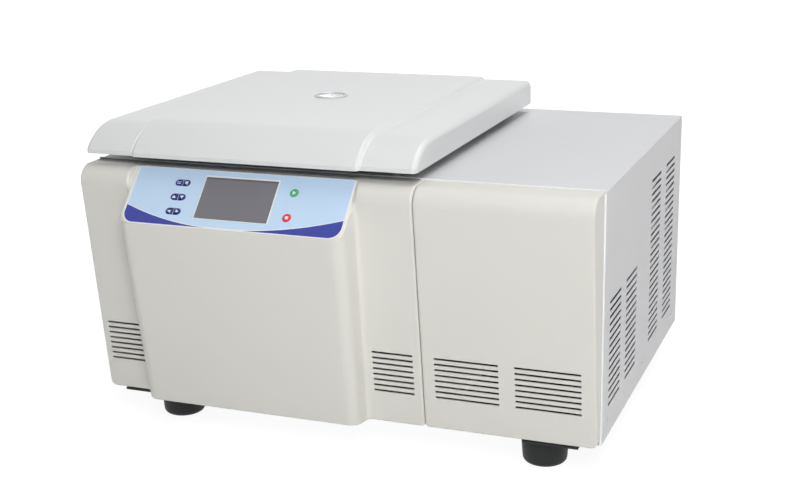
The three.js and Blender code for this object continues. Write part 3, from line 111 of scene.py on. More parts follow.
print("lens:", LENS, "mm")

# %% [markdown]
# ## Arithmetic for finishes
# A finish is a net of nodes. They could be placed and linked one at a time, but then a formula is
# hard to read. Here one small class wraps a node's output, so that a formula on it is written as
# arithmetic, and one method makes every other node.
# %% Shader maths
class Wire:
    """One output socket. Arithmetic on it, and with numbers, adds Math nodes."""

    def __init__(self, nodes, socket):
        self.nodes, self.socket = nodes, socket

    def maths(self, operation, *values, clamp=False):
        """One Math node on the values, held between 0 and 1 if it is clamped."""
        settings = {"operation": operation, "use_clamp": clamp}
        return self.nodes.node("ShaderNodeMath", settings, list(values))

    def __add__(self, other):
        return self.maths("ADD", self, other)

    def __sub__(self, other):
        return self.maths("SUBTRACT", self, other)

    def __mul__(self, other):
        return self.maths("MULTIPLY", self, other)

    def __pow__(self, other):
        return self.maths("POWER", self, other)

    def __rsub__(self, other):
        return self.maths("SUBTRACT", other, self)

    def __abs__(self):
        return self.maths("ABSOLUTE", self)

    __radd__, __rmul__ = __add__, __mul__

    def within(self, limit, blur):
        """1 under the limit and 0 over it: the distance below it over the blur, and a half."""
        return self.maths("MULTIPLY_ADD", self, -1.0 / blur, limit / blur + 0.5, clamp=True)

    def most(self, other):
        """The greater of two values."""
        return self.maths("MAXIMUM", self, other)


print("Wire:", Wire.__doc__)

# %% The one way to add a node
class Nodes:
    """A tree of nodes, and the one way to add to it."""

    def __init__(self, tree):
        self.tree = tree

    def node(self, kind, settings=None, inputs=None, output=0):
        """Any node: its settings first, then the values or wires of its sockets."""
        made = self.tree.nodes.new(kind)
        for key, value in (settings or {}).items():
            setattr(made, key, value)
        pairs = enumerate(inputs) if isinstance(inputs, list) else (inputs or {}).items()
        for key, value in pairs:
            if isinstance(value, Wire):
                self.tree.links.new(value.socket, made.inputs[key])
            else:
                made.inputs[key].default_value = value
        return Wire(self, made.outputs[output])


print("Nodes:", Nodes.__doc__)

# %% Materials with their patterns
WHITE = (1.0, 1.0, 1.0, 1.0)
finishes = {}


class Paint(Nodes):
    """A material with its main shader, kept among the finishes under its name."""

    def __init__(self, name, **constants):
        self.material = bpy.data.materials.new(name)
        self.material.use_nodes = True
        super().__init__(self.material.node_tree)
        self.shader = self.tree.nodes["Principled BSDF"]
        for socket, value in constants.items():
            self.shader.inputs[socket.replace("_", " ")].default_value = value
        finishes[name] = self.material

    def feed(self, **wires):
        """Links each wire to the shader's socket of that name."""
        for socket, wire in wires.items():
            self.tree.links.new(wire.socket, self.shader.inputs[socket.replace("_", " ")])

    def place(self):
        """The point on the object, in metres."""
        return self.node("ShaderNodeTexCoord", output="Object")

    def noise(self, scale, detail=3.0, rough=0.5, stretch=(1.0, 1.0, 1.0)):
        """Noise from 0 to 1; the scale is in waves a metre, and stretch multiplies it per axis."""
        where = self.node("ShaderNodeMapping", {}, {"Vector": self.place(), "Scale": stretch})
        sizes = {"Vector": where, "Scale": scale, "Detail": detail, "Roughness": rough}
        return self.node("ShaderNodeTexNoise", {}, sizes)

    def cells(self, scale, output):
        """Irregular cells, so many a metre: the distance to a cell's seed, or its own colour."""
        sizes = {"Vector": self.place(), "Scale": scale}
        return self.node("ShaderNodeTexVoronoi", {"feature": "F1"}, sizes, output)

    def blend(self, factor, low, high):
        """Mix of two colours or wires: the low one where the factor is 0, the high one at 1."""
        settings = {"data_type": "RGBA", "clamp_factor": True}
        return self.node("ShaderNodeMix", settings, {0: factor, 6: low, 7: high}, output=2)

    def bump(self, height, distance):
        """A surface whose relief follows a height of 0 to 1 over a distance in metres."""
        return self.node("ShaderNodeBump", {}, {"Height": height, "Distance": distance})


def shade(red, green, blue):
    """A colour from its screen values of 0 to 255, turned to linear light by the screen's curve."""
    screen = np.array([red, green, blue]) / 255
    linear = np.where(screen > 0.04045, ((screen + 0.055) / 1.055) ** 2.4, screen / 12.92)
    return (*linear.tolist(), 1.0)


print("white is", shade(255, 255, 255))

# %% [markdown]
# ## Studio
# The machine stands on white, lit by large soft lamps. White could be had by more light, but that
# would wash out its pale paints. So the white seen by the camera, by gloss and through glass comes
# from the floor and the world alone, and the lamps stay at the level that shows a paint as mixed.
# %% Floor
FLOOR_PAINT, FLOOR_HALF, FLOOR_SHOW, FLOOR_GLOW = (0.93, 0.93, 0.93, 1), 12.0, 0.78, 1.16
FADE_START, FADE_RUN = 0.55, 0.9


def seen_rays(nodes):
    """1 for rays from the camera, off gloss or through glass, and 0 for those that carry light."""
    rays = [nodes.node("ShaderNodeLightPath", output=f"Is {kind} Ray")
            for kind in ("Camera", "Glossy", "Transmission")]
    return rays[0].most(rays[1]).most(rays[2])


floor_paint = Paint("floor", Base_Color=FLOOR_PAINT, Roughness=1.0, Specular_IOR_Level=0.0)
glow = floor_paint.node("ShaderNodeEmission", {}, {"Color": WHITE, "Strength": FLOOR_GLOW})
from_middle = floor_paint.node(
    "ShaderNodeVectorMath", {"operation": "LENGTH"}, [floor_paint.place()], output="Value"
)
far = from_middle.maths(
    "MULTIPLY_ADD", from_middle, 1.0 / FADE_RUN, -FADE_START / FADE_RUN, clamp=True
)
matt = Wire(floor_paint, floor_paint.shader.outputs[0])
shown = floor_paint.node(
    "ShaderNodeMixShader", {},
    [seen_rays(floor_paint) * (far * (1.0 - FLOOR_SHOW) + FLOOR_SHOW), matt, glow],
)
surface = floor_paint.tree.nodes["Material Output"].inputs["Surface"]
floor_paint.tree.links.new(shown.socket, surface)

floor_mesh = bpy.data.meshes.new("floor")
floor_corners = [(-1, -1), (1, -1), (1, 1), (-1, 1)]
floor_mesh.from_pydata(
    [(x * FLOOR_HALF, y * FLOOR_HALF, 0.0) for x, y in floor_corners], [], [(0, 1, 2, 3)]
)
floor_mesh.materials.append(floor_paint.material)
floor = bpy.data.objects.new("floor", floor_mesh)
bpy.context.collection.objects.link(floor)
print("floor:", 2 * FLOOR_HALF, "m wide")

# %% Backdrop and lamps
AMBIENT = 0.10
world = bpy.data.worlds.new("studio")
world.use_nodes = True
bpy.context.scene.world = world
backdrop = world.node_tree.nodes["Background"]
strength = seen_rays(Nodes(world.node_tree)) * (1.0 - AMBIENT) + AMBIENT
world.node_tree.links.new(strength.socket, backdrop.inputs["Strength"])
backdrop.inputs["Color"].default_value = WHITE

# Each lamp: its name, place in metres, width in metres, watts and tint.
LAMPS = [
    ("key", (0.95, -2.15, 1.8), 1.3, 39.0, (1.0, 0.998, 0.99)),
    ("right", (2.5, -1.0, 1.4), 1.3, 7.0, (1.0, 0.955, 0.88)),
    ("top", (0.7, 0.5, 3.0), 2.2, 34.0, (1.0, 1.0, 1.0)),
    ("back", (-2.2, 2.6, 0.9), 1.8, 42.0, (1.0, 1.0, 1.0)),
]
LIT_POINT = (0.0, 0.0, 0.25)
for name, place, size, watts, tint in LAMPS:
    lamp = bpy.data.objects.new(name, bpy.data.lights.new(name, "AREA"))
    lamp.data.shape, lamp.data.size, lamp.data.energy = "DISK", size, watts
    lamp.data.color = tint
    aim = Vector(LIT_POINT) - Vector(place)
    lamp_turn = aim.to_track_quat("-Z", "Y").to_matrix().to_4x4()
    lamp.matrix_world = Matrix.Translation(place) @ lamp_turn
    lamp.visible_glossy = name != "back"
    bpy.context.collection.objects.link(lamp)
bpy.context.scene.view_settings.view_transform = "Standard"
print("lamps:", len(LAMPS))

# %% [markdown]
# ## Paints and plastics
# The front is moulded plastic, the covers are powder-coated sheet and the lid has a smooth paint.
# A photograph of a surface could be wrapped round them, but it would stretch and repeat. So each
# finish is mixed from noise at the scale of the real surface, in the object's own metres.
# %% Moulded plastic, powder coat and the lid's smooth paint
DRIFT, SMUDGE = (2.6, 3.0), (14.0, 4.0, 0.65)
GRAIN_DETAIL, GRAIN_ROUGH = 2.0, 0.6


def painted(name, tint, deep, grain_scale, grain_depth, rough, rough_spread, **constants):
    """Paint or plastic: a slow drift between two close shades, and a fine grain in its surface.

    Its roughness is the middle value, less the spread, plus the spread times grain and smudges.
    """
    paint = Paint(name, **constants)
    grain = paint.noise(grain_scale, GRAIN_DETAIL, GRAIN_ROUGH)
    smudge = paint.noise(*SMUDGE)
    paint.feed(
        Base_Color=paint.blend(paint.noise(*DRIFT), shade(*tint), shade(*deep)),
        Roughness=grain * rough_spread + smudge * rough_spread + (rough - rough_spread),
        Normal=paint.bump(grain, grain_depth),
    )


# Each paint: its name, two close shades, the grain in waves a metre, its depth in metres, the
# roughness and how far it spreads.
painted("moulding", (230, 229, 224), (226, 225, 219), 620.0, 0.00006, 0.42, 0.10,
        Specular_IOR_Level=0.45)
painted("cover_paint", (224, 225, 228), (219, 220, 223), 480.0, 0.00010, 0.46, 0.12,
        Specular_IOR_Level=0.45)
# Near-white paint that makes a painted highlight on lit folded edges.
painted("painted_edge_highlight", (244, 244, 246), (238, 239, 241), 300.0, 0.00004, 0.26, 0.06,
        Coat_Weight=0.4, Coat_Roughness=0.12)
painted("lid_paint", (232, 233, 234), (229, 231, 232), 260.0, 0.00003, 0.30, 0.06,
        Specular_IOR_Level=0.5)
painted("black_steel", (30, 31, 33), (24, 25, 27), 420.0, 0.00010, 0.50, 0.14, Metallic=0.2)
painted("black_plastic", (38, 39, 42), (30, 31, 34), 520.0, 0.00008, 0.48, 0.12)
# The strip's light grey is lighter than its rubber: a painted highlight, as it lies in shade.
painted("strip_painted_highlight", (192, 193, 186), (180, 181, 174), 520.0, 0.00008, 0.48, 0.12)
painted("rubber", (27, 28, 30), (20, 21, 23), 700.0, 0.00012, 0.55, 0.16,
        Specular_IOR_Level=0.4)
print("paints:", len(finishes))

# %% [markdown]
# ## Bare metals
# They differ by how they were worked: the bowl is brushed in rings, the pan has the large crystals
# of zinc, the rotor is turned and blasted, and the coil has gone dull in patches. Each could have
# nodes of its own, but one recipe with a pattern for each metal keeps them alike where they are.
# %% Steel, aluminium, copper and zinc
PATCHES = (9.0, 4.0, 0.6)
ZINC_CRYSTALS, FOAM_CELLS = 90.0, 420.0


def metal(name, light, dark, pattern, depth, rough, spread):
    """Metal whose colour, roughness and relief all follow one pattern from 0 to 1."""
    paint = Paint(name, Metallic=1.0)
    worn = pattern(paint)
    paint.feed(
        Base_Color=paint.blend(worn, shade(*dark), shade(*light)),
        Roughness=worn * spread + paint.noise(*PATCHES) * spread + (rough - spread),
        Normal=paint.bump(worn, depth),
    )


# Each metal: its name, a light and a dark shade, its pattern, the relief in metres, the roughness
# and how far it spreads.
metal("stainless", (214, 216, 219), (190, 192, 196),
      lambda paint: paint.noise(60.0, 4.0, 0.7, (0.25, 0.25, 22.0)), 0.00004, 0.26, 0.10)
metal("aluminium", (208, 210, 213), (186, 188, 192),
      lambda paint: paint.noise(900.0, 3.0, 0.6), 0.00006, 0.38, 0.12)
metal("copper", (206, 134, 92), (132, 84, 62),
      lambda paint: paint.noise(30.0, 5.0, 0.7), 0.00008, 0.34, 0.16)
metal("zinc", (196, 200, 204), (160, 165, 170),
      lambda paint: paint.cells(ZINC_CRYSTALS, "Color"), 0.00003, 0.40, 0.14)
print("finishes so far:", len(finishes))

# %% [markdown]
# ## Foam, board and glass
# Foam fills the space round the chamber, the board carries copper tracks under green lacquer, and
# glass is clear with a faint smear. Tracks could be drawn one by one; long stretched noise, cut at
# its middle value, gives as many as a real board has.
# %% Foam, board and glass
foam = Paint("foam", Roughness=0.95, Specular_IOR_Level=0.2)
foam.feed(
    Base_Color=foam.blend(foam.noise(22.0, 4.0), shade(232, 222, 190), shade(214, 200, 160)),
    Normal=foam.bump(foam.cells(FOAM_CELLS, "Distance"), 0.0006),
)

TRACK_EDGE = 0.04
board = Paint("board", Specular_IOR_Level=0.5)
tracks = board.noise(240.0, 1.0, 0.4, (1.0, 0.12, 0.12)).within(0.5, TRACK_EDGE)
board.feed(
    Base_Color=board.blend(tracks, shade(24, 98, 62), shade(36, 124, 78)),
    Roughness=tracks * 0.1 + 0.3,
    Normal=board.bump(tracks, 0.00004),
)

clear = Paint("clear_glass", Transmission_Weight=1.0, IOR=1.49)
smear = clear.noise(26.0, 4.0, 0.6)
clear.feed(
    Base_Color=clear.blend(smear, shade(236, 242, 243), shade(226, 234, 236)),
    Roughness=smear * 0.06 + 0.02,
)
print("glass:", clear.material.name)

# %% [markdown]
# ## The printed film
# The control panel is a printed polyester film. Its picture could be an image, but then its edges
# blur from near by. Here it is drawn in millimetres on the film: Mapping moves the origin to the
# panel's middle and lays the slope flat, and each printed edge is a distance against a limit.
# %% Distances on the panel
TILT = math.radians(46.0)
PANEL_OUT, PANEL_RISE, PRINT_BLUR = 60.7, 317.0, 0.12
panel_z = cover_bottom + PANEL_RISE


def lay_flat(paint, centre):
    """Distances right and up the slope from a centre, in millimetres."""
    flat = paint.node("ShaderNodeMapping", {"vector_type": "TEXTURE"}, {
        "Vector": paint.place(),
        "Location": [float(c) * MM for c in centre],
        "Rotation": [TILT, 0.0, 0.0],
        "Scale": [MM, MM, MM],
    })
    return [
        paint.node("ShaderNodeSeparateXYZ", {}, {"Vector": flat}, output=axis) for axis in "XY"
    ]


film = Paint("overlay_film", Specular_IOR_Level=0.5)
film_middle = middle("control_overlay")
right, up = lay_flat(film, film_middle)
print("film middle:", film_middle.round(1))

# %% Print on the control panel
FIELD_HALF, FILM_HALF_HEIGHT, FIELD_CORNER = 165.0, 45.8, 16.5
RIM, TOP_RIM, LINE_WIDE = 1.5, 0.5, 1.1
SCREEN_LOW, SCREEN_HIGH, SCREEN_LEFT, SCREEN_RIGHT = -31.4, 37.4, -56.6, 57.5
# Each dark wedge: where it starts, its lower edge, how it rises, and the side it runs to.
WEDGES = [(-17.0, -44.5, 0.00125, -1.0), (-6.0, -45.0, 0.000964, 1.0)]


def rounded(across_half, low, high, corner):
    """1 inside a rectangle whose two lower corners are round.

    The distance past the straight sides, along both axes, is compared with the corner's radius.
    """
    beside = (abs(right) - (across_half - corner)).most(0.0)
    below = ((low + corner) - up).most(0.0)
    reach = (beside * beside + below * below) ** 0.5
    return reach.within(corner, PRINT_BLUR) * up.within(high, PRINT_BLUR)


def wedges(lift):
    """1 under either parabola: it starts flat, and rises as the square of the way to its side."""
    runs = [((right - start) * side).most(0.0) for start, _, _, side in WEDGES]
    under = [(up - run * run * rise).within(base + lift, PRINT_BLUR)
             for run, (_, base, rise, _) in zip(runs, WEDGES)]
    return under[0].most(under[1])


def between(distance, low, high):
    """1 between two limits: the distance from their middle against half their gap."""
    return abs(distance - (low + high) / 2).within((high - low) / 2, PRINT_BLUR)


FILM_LIGHT, FILM_PALE = shade(204, 229, 255), shade(201, 227, 255)
WEDGE_BLUE, LINE_WHITE = shade(56, 66, 160), shade(248, 249, 251)
# Round the blue field the film is white: partly its printed border, partly a painted highlight of
# the moulding's lit shoulder edge.
field = rounded(FIELD_HALF, -FILM_HALF_HEIGHT + RIM, FILM_HALF_HEIGHT - TOP_RIM, FIELD_CORNER)
window = between(right, SCREEN_LEFT, SCREEN_RIGHT) * between(up, SCREEN_LOW, SCREEN_HIGH)
# The ground's two blues change from the lower left to the upper right.
slant = up * (0.5 / FILM_HALF_HEIGHT) + right * (0.25 / FIELD_HALF) + 0.5
ink = film.blend(wedges(LINE_WIDE), film.blend(slant, FILM_LIGHT, FILM_PALE), LINE_WHITE)
ink = film.blend(wedges(0.0), ink, WEDGE_BLUE)
ink = film.blend(window, ink, LINE_WHITE)
ink = film.blend(field, LINE_WHITE, ink)
weave = film.noise(1500.0, 2.0, 0.6)
film.feed(Base_Color=ink, Roughness=weave * 0.1 + 0.34, Normal=film.bump(weave, 0.00002))
print("screen window:", SCREEN_RIGHT - SCREEN_LEFT, "x", SCREEN_HIGH - SCREEN_LOW, "mm")

# %% [markdown]
# ## Screen and keys
# The screen is off: a grey sheet with a painted shadow under its upper edge, the shade of its
# recess. The keys carry white signs of the common kind. They could be cut out as little meshes,
# but print has no thickness, so they are drawn on the caps by the same sort of distances as the
# film's picture.
# %% Screen and key signs
SCREEN_SHADE_FROM, SCREEN_SHADE_BLUR = 29.4, 0.5
SQUARE_HALF, BAR_FROM, BAR_HALF, BAR_LONG = 2.3, 1.3, 0.55, 2.7
ARROW_SLOPE, ARROW_HALF, ARROW_FOOT = 0.62, 1.7, 2.2
screen = Paint("display_glass", Specular_IOR_Level=0.6, Coat_Weight=0.4, Coat_Roughness=0.05)
right, up = lay_flat(screen, middle("display_glass"))
# Painted shadow: a darker band under the screen's upper edge, the shade of its recess.
painted_recess_shadow = (up * -1.0).within(-SCREEN_SHADE_FROM, SCREEN_SHADE_BLUR)
haze = screen.noise(7.0, 3.0, 0.5)
grey = screen.blend(haze, shade(113, 112, 120), shade(105, 104, 112))
screen.feed(
    Base_Color=screen.blend(painted_recess_shadow, grey, shade(84, 83, 92)),
    Roughness=haze * 0.08 + 0.18,
)


def sign(kind, u, v):
    """1 inside a key's sign, about 4 mm across.

    A square limits the greater distance, two bars limit the distance from their lines, and an
    arrow limits the sum of the distance aside and a share of the distance towards its tip.
    """
    if kind == "square":
        return abs(u).most(abs(v)).within(SQUARE_HALF, PRINT_BLUR)
    if kind == "bars":
        bars = abs(abs(v) - BAR_FROM).within(BAR_HALF, PRINT_BLUR)
        return bars * abs(u).within(BAR_LONG, PRINT_BLUR)
    towards, aside = {
        "up": (v, u), "down": (v * -1.0, u), "right": (u, v), "left": (u * -1.0, v),
    }[kind]
    sides = (abs(aside) + towards * ARROW_SLOPE).within(ARROW_HALF, PRINT_BLUR)
    return sides * (towards * -1.0).within(ARROW_FOOT, PRINT_BLUR)


print("screen:", screen.material.name)

# %% Key caps' finish, and the packed solids dressed
KEYS = {
    "key_1_left": ("key_blue", "bars"), "key_1_right": ("key_blue", "square"),
    "key_2_left": ("key_blue", "up"), "key_2_right": ("key_blue", "down"),
    "key_3_left": ("key_blue", "left"), "key_3_right": ("key_blue", "right"),
    "start_key": ("key_green", "right"), "stop_key": ("key_red", "square"),
}
KEY_COLOURS = {
    "key_blue": shade(36, 44, 132), "key_green": shade(74, 178, 118), "key_red": shade(228, 56, 76),
}
SIGN_WHITE = shade(238, 240, 244)
for name, (colour, kind) in KEYS.items():
    paint = Paint(name, Specular_IOR_Level=0.5)
    grain = paint.noise(1200.0, 2.0)
    paint.feed(
        Base_Color=paint.blend(
            sign(kind, *lay_flat(paint, middle(name))), KEY_COLOURS[colour], SIGN_WHITE
        ),
        Roughness=grain * 0.12 + 0.36,
        Normal=paint.bump(grain, 0.00002),
    )


def finish_of(node):
    """A key has a finish of its own, with its sign; every other solid has its slot's."""
    return finishes[node if node in KEYS else slot_of[node]]


for name, node in frame["nodes"].items():
    node.data.materials.clear()
    node.data.materials.append(finish_of(name))
print("finishes:", len(finishes))

# %% [markdown]
# ## Surfaces from numbers
# Thin shells and turned pieces could be modelled by hand, vertex by vertex. Here a surface is a
# grid of points worked out as whole arrays, because then a size can be changed in one place. Cells
# inside an opening are left out, and a wall gives the skin its thickness.
# %% From arrays to a piece
WELD = 2e-6
CREASE_MADE, CREASE_PACKED = 32.0, 30.0


def quads_of(points, keep=None):
    """The four corner numbers of every kept cell of a grid of points."""
    rows, columns = points.shape[:2]
    number = np.arange(rows * columns).reshape(rows, columns)
    quads = np.stack([number[:-1, :-1], number[:-1, 1:], number[1:, 1:], number[1:, :-1]], -1)
    return quads[keep] if keep is not None else quads.reshape(-1, 4)


def add_piece(name, mesh, node, replaces, crease, finish=None):
    """Puts a mesh into the scene as a piece, with a packed solid's body and finish, or a given
    finish.
    """
    body, slot_name = body_of[node], slot_of[node]
    mesh.shade_smooth()
    mesh.set_sharp_from_angle(angle=math.radians(crease))
    mesh.materials.clear()
    mesh.materials.append(finishes[finish] if finish else finish_of(node))
    piece = bpy.data.objects.new(name, mesh)
    bpy.context.collection.objects.link(piece)
    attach(piece, body)
    if replaces:
        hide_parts(*replaces)
    print(name, len(mesh.polygons), "faces")
    return piece


def make(name, sheets, replaces=(), like=None, facing=None, finish=None):
    """One piece from sheets of points in millimetres, welded where they meet.

    It stands for the solids it replaces, or is one more piece like another. Its faces point
    outwards: a closed piece has a positive volume, and an open skin's areas sum to its facing.
    """
    points, quads, offset = [], [], 0
    for sheet in sheets:
        grid, keep = sheet if isinstance(sheet, tuple) else (sheet, None)
        points.append(grid.reshape(-1, 3) * MM)
        quads.append(quads_of(grid, keep) + offset)
        offset += points[-1].shape[0]
    mesh = bpy.data.meshes.new(name)
    mesh.from_pydata(np.concatenate(points).tolist(), [], np.concatenate(quads).tolist())
    work = bmesh.new()
    work.from_mesh(mesh)
    bmesh.ops.remove_doubles(work, verts=work.verts, dist=WELD)
    bmesh.ops.dissolve_degenerate(work, edges=work.edges, dist=WELD)
    loose = [v for v in work.verts if not v.link_faces]
    bmesh.ops.delete(work, geom=loose, context="VERTS")
    bmesh.ops.recalc_face_normals(work, faces=work.faces)
    total = sum((f.normal * f.calc_area() for f in work.faces), Vector())
    inside_out = total.dot(Vector(facing)) < 0 if facing else work.calc_volume(signed=True) < 0
    if inside_out:
        bmesh.ops.reverse_faces(work, faces=work.faces)
    work.to_mesh(mesh)
    work.free()
    return add_piece(name, mesh, like or replaces[0], replaces, CREASE_MADE, finish)


# %% Rounded edges and walls
ROUND_OVER, ROUND_STEPS, FLAT_WITHIN = 38.0, 2, 1.0


def soften(piece, edge):
    """A small round of a radius in millimetres on every edge sharper than an angle."""
    bevel = piece.modifiers.new("edge", "BEVEL")
    bevel.width, bevel.segments = edge * MM, ROUND_STEPS
    bevel.limit_method, bevel.angle_limit = "ANGLE", math.radians(ROUND_OVER)
    weighted = piece.modifiers.new("shading", "WEIGHTED_NORMAL")
    weighted.keep_sharp = True


def wall(piece, thickness, edge):
    """Gives a skin its wall, inwards, and breaks the sharp edges that this makes."""
    solid = piece.modifiers.new("wall", "SOLIDIFY")
    solid.thickness, solid.offset, solid.use_even_offset = thickness * MM, -1.0, True
    soften(piece, edge)


def eased(node, edge):
    """A packed solid with its edges rounded: its mesh, merged, flat faces joined, bevelled."""
    mesh = frame["nodes"][node].data.copy()
    mesh.name = f"{node}_eased"
    work = bmesh.new()
    work.from_mesh(mesh)
    bmesh.ops.remove_doubles(work, verts=work.verts, dist=WELD)
    bmesh.ops.dissolve_limit(
        work, angle_limit=math.radians(FLAT_WITHIN), verts=work.verts, edges=work.edges
    )
    work.to_mesh(mesh)
    work.free()
    soften(add_piece(mesh.name, mesh, node, [node], CREASE_PACKED), edge)


print("edges sharper than", ROUND_OVER, "degrees get a round")

# %% Grid lines, circles and turned pieces
def spread(lines, step):
    """Sorted grid lines, with more put evenly between two that are over a step apart."""
    lines = np.unique(np.round(lines, 3))
    parts = [
        np.linspace(a, b, max(int(math.ceil((b - a) / step)), 1) + 1)[:-1]
        for a, b in zip(lines[:-1], lines[1:])
    ]
    return np.concatenate([*parts, lines[-1:]])


def turned(profile, centre, axis="z", sides=96):
    """A profile of radius and height turned once round an axis: radius times cosine and sine."""
    around = np.linspace(0, 2 * np.pi, sides + 1)[None, :]
    radius, height = np.array(profile, float).T[..., None]
    ring = [radius * np.cos(around), radius * np.sin(around), height + 0 * around]
    order = {"z": (0, 1, 2), "x": (2, 0, 1)}[axis]
    return np.stack([ring[i] for i in order], -1) + np.array(centre, float)


def arc(centre, radius, start, end, count=8):
    """Points on part of a circle: its centre plus the radius times cosine and sine, in degrees."""
    angle = np.radians(np.linspace(start, end, count))
    return [(centre[0] + radius * c, centre[1] + radius * s)
            for c, s in zip(np.cos(angle), np.sin(angle))]


print("10 mm in steps of 4 at most:", spread(np.array([0.0, 10.0]), 4.0).round(2))

# %% Bars and openings
BAR_END = 0.9


def bar(low, high, rounding, along):
    """A straight bar with rounded long edges: a rounded rectangle carried along one axis.

    At both ends the rectangle is drawn a little smaller, and then down to its middle.
    """
    low, high = np.array(low, float), np.array(high, float)
    u, v = [i for i in range(3) if i != along]
    near, far = low + rounding, high - rounding
    loop = [
        *arc((far[u], far[v]), rounding, 0, 90, 4), *arc((near[u], far[v]), rounding, 90, 180, 4),
        *arc((near[u], near[v]), rounding, 180, 270, 4),
        *arc((far[u], near[v]), rounding, 270, 360, 4),
    ]
    loop = np.array([*loop, loop[0]])
    centre = (low + high) / 2
    rings = []
    for at, grow in [(low[along], 0.0), (low[along], BAR_END), (near[along], 1.0),
                     (far[along], 1.0), (high[along], BAR_END), (high[along], 0.0)]:
        ring = np.empty((len(loop), 3))
        ring[:, [u, v]] = centre[[u, v]] + (loop - centre[[u, v]]) * grow
        ring[:, along] = at
        rings.append(ring)
    return np.stack(rings)


def closed_cells(grid, axis, openings):
    """False for each cell whose middle is inside an opening, given along one axis and upwards."""
    centre = (grid[:-1, :-1] + grid[1:, 1:]) / 2
    keep = np.ones(centre.shape[:2], bool)
    for start, end, low, high in openings:
        inside = (centre[..., axis] > start) & (centre[..., axis] < end)
        keep &= ~(inside & (centre[..., 2] > low) & (centre[..., 2] < high))
    return keep


print("rings of a bar:", len(bar((0.0, 0.0, 0.0), (9.0, 9.0, 9.0), 1.0, 0)))

# %% [markdown]
# ## The front mouldings
# The front is two thin plastic shells. Their section is a leaning face with a wide roll at the
# top. On the left one a bulge stands out, whose own section is a leaning face, a small lip and the
# sloping panel. The bulge could be a second body joined on by a Boolean, but that leaves a hard
# line. Here every point is the flank's section, moved forward by a depth that follows the bulge's
# plan: nought on the flank, a cove, a wall, and a shoulder that is wide below the lip and tight
# beside the panel.
# %% Sections of the mouldings
main_low, main_high = corners("main_fascia")
side_low, side_high = corners("side_fascia")
MOULD_LOW, MOULD_TOP = side_low[2], main_high[2]
FACE_REACH, FACE_LEAN = 19.0, math.radians(6.1)
BULGE_REACH, BULGE_LEAN = 50.0, math.radians(8.8)
ROLL, EDGE, LIP, WALL = 24.0, 3.0, 7.0, 1.8
WALL_EDGE, BACK, LEAST_CURL = 0.25, -0.3, 0.5


def face_line(reach, lean, z, inset):
    """A straight face: its reach, and the lean's tangent times the height, less the inset."""
    return -(reach + math.tan(lean) * (z - MOULD_LOW)) + inset / math.cos(lean)


roll_z = MOULD_TOP - ROLL
roll_y = face_line(FACE_REACH, FACE_LEAN, roll_z, ROLL)


def flank_y(z, inset=0.0):
    """The leaning face, and above it a quarter round: the root of radius squared less height's."""
    radius = ROLL - inset
    rolled = roll_y - np.sqrt(np.maximum(radius**2 - (z - roll_z) ** 2, 0))
    straight = face_line(FACE_REACH, FACE_LEAN, z, inset)
    return np.where(z <= roll_z - radius * math.sin(FACE_LEAN), straight, rolled)


def panel_line(z, inset=0.0):
    """The slope of the control panel: back by the height over the tilt's tangent."""
    return -PANEL_OUT + (z - panel_z) / math.tan(TILT) + inset / math.sin(TILT)


lip_gap = face_line(BULGE_REACH, BULGE_LEAN, MOULD_LOW, LIP) - panel_line(MOULD_LOW, LIP)
lip_z = MOULD_LOW + lip_gap / (math.tan(BULGE_LEAN) + 1 / math.tan(TILT))
lip_y = panel_line(lip_z, LIP)
lip_low = lip_z - LIP * math.sin(BULGE_LEAN)
lip_high = lip_z + LIP * math.cos(TILT)


def bulge_y(z):
    """The leaning face, the round lip and the panel's slope, one above the other."""
    round_lip = lip_y - np.sqrt(np.maximum(LIP**2 - (z - lip_z) ** 2, 0))
    lower = face_line(BULGE_REACH, BULGE_LEAN, z, 0.0)
    return np.where(z <= lip_low, lower, np.where(z >= lip_high, panel_line(z), round_lip))


print("lip at", round(float(lip_z - MOULD_LOW), 1), "mm up")

# %% Plan of the bulge
BULGE_HALF, ROOT_HALF, COVE = 169.3, 170.8, 6.0
SHOULDER_LOW, SHOULDER_HIGH, SHOULDER_FADE = 17.0, 4.0, 4.0
film_foot = panel_z - FILM_HALF_HEIGHT * math.sin(TILT)


def shoulder(z):
    """The shoulder's radius: wide up to the film's foot, then tight, falling exponentially."""
    up_slope = np.maximum(z - film_foot, 0) / math.sin(TILT)
    return SHOULDER_HIGH + (SHOULDER_LOW - SHOULDER_HIGH) * np.exp(-up_slope / SHOULDER_FADE)


def depth(t, z):
    """How far a point stands in front of the flank, at a distance from the bulge's middle line.

    It is the full gap between both sections, less a quarter round at the shoulder, then a wall,
    then a hollow quarter round. Near the top the panel lies behind the flank's roll, and the same
    plan leads inwards.
    """
    gap = flank_y(z) - bulge_y(z)
    full, radius = abs(gap), shoulder(z)
    fit = np.minimum(full / (radius + COVE), 1)
    over = np.clip((t - BULGE_HALF + radius) / radius, 0, 1)
    top = full - fit * radius * (1 - np.sqrt(1 - over**2))
    down = np.clip((t - BULGE_HALF) / (ROOT_HALF - BULGE_HALF), 0, 1)
    side = top + down * (fit * COVE - top)
    away = np.clip((ROOT_HALF + COVE - t) / COVE, 0, 1)
    root = fit * COVE * (1 - np.sqrt(1 - away**2))
    return np.sign(gap) * np.where(t <= ROOT_HALF, side, root)


LEFT_MORE, RIGHT_TUCK = 3.5, 3.5
LEFT_END, RIGHT_END, FULL_FROM, STILL_UNDER = ROOT_HALF + 12.0, ROOT_HALF + 9.0, 140.0, 80.0


def side_shift(x, z):
    """How far a point moves sideways: the bulge is wider on its left, all the way up.

    Its right side tucks in towards the foot. Both fade to nought at the middle and at the flank.
    """
    u = x - chamber_x
    left = np.interp(-u, [STILL_UNDER, FULL_FROM, ROOT_HALF, LEFT_END], [0, 1, 1, 0])
    right = np.interp(u, [STILL_UNDER, FULL_FROM, ROOT_HALF, RIGHT_END], [0, 1, 1, 0])
    low = np.clip((film_foot - z) / (film_foot - MOULD_LOW), 0, 1)
    return -LEFT_MORE * left - RIGHT_TUCK * low * right


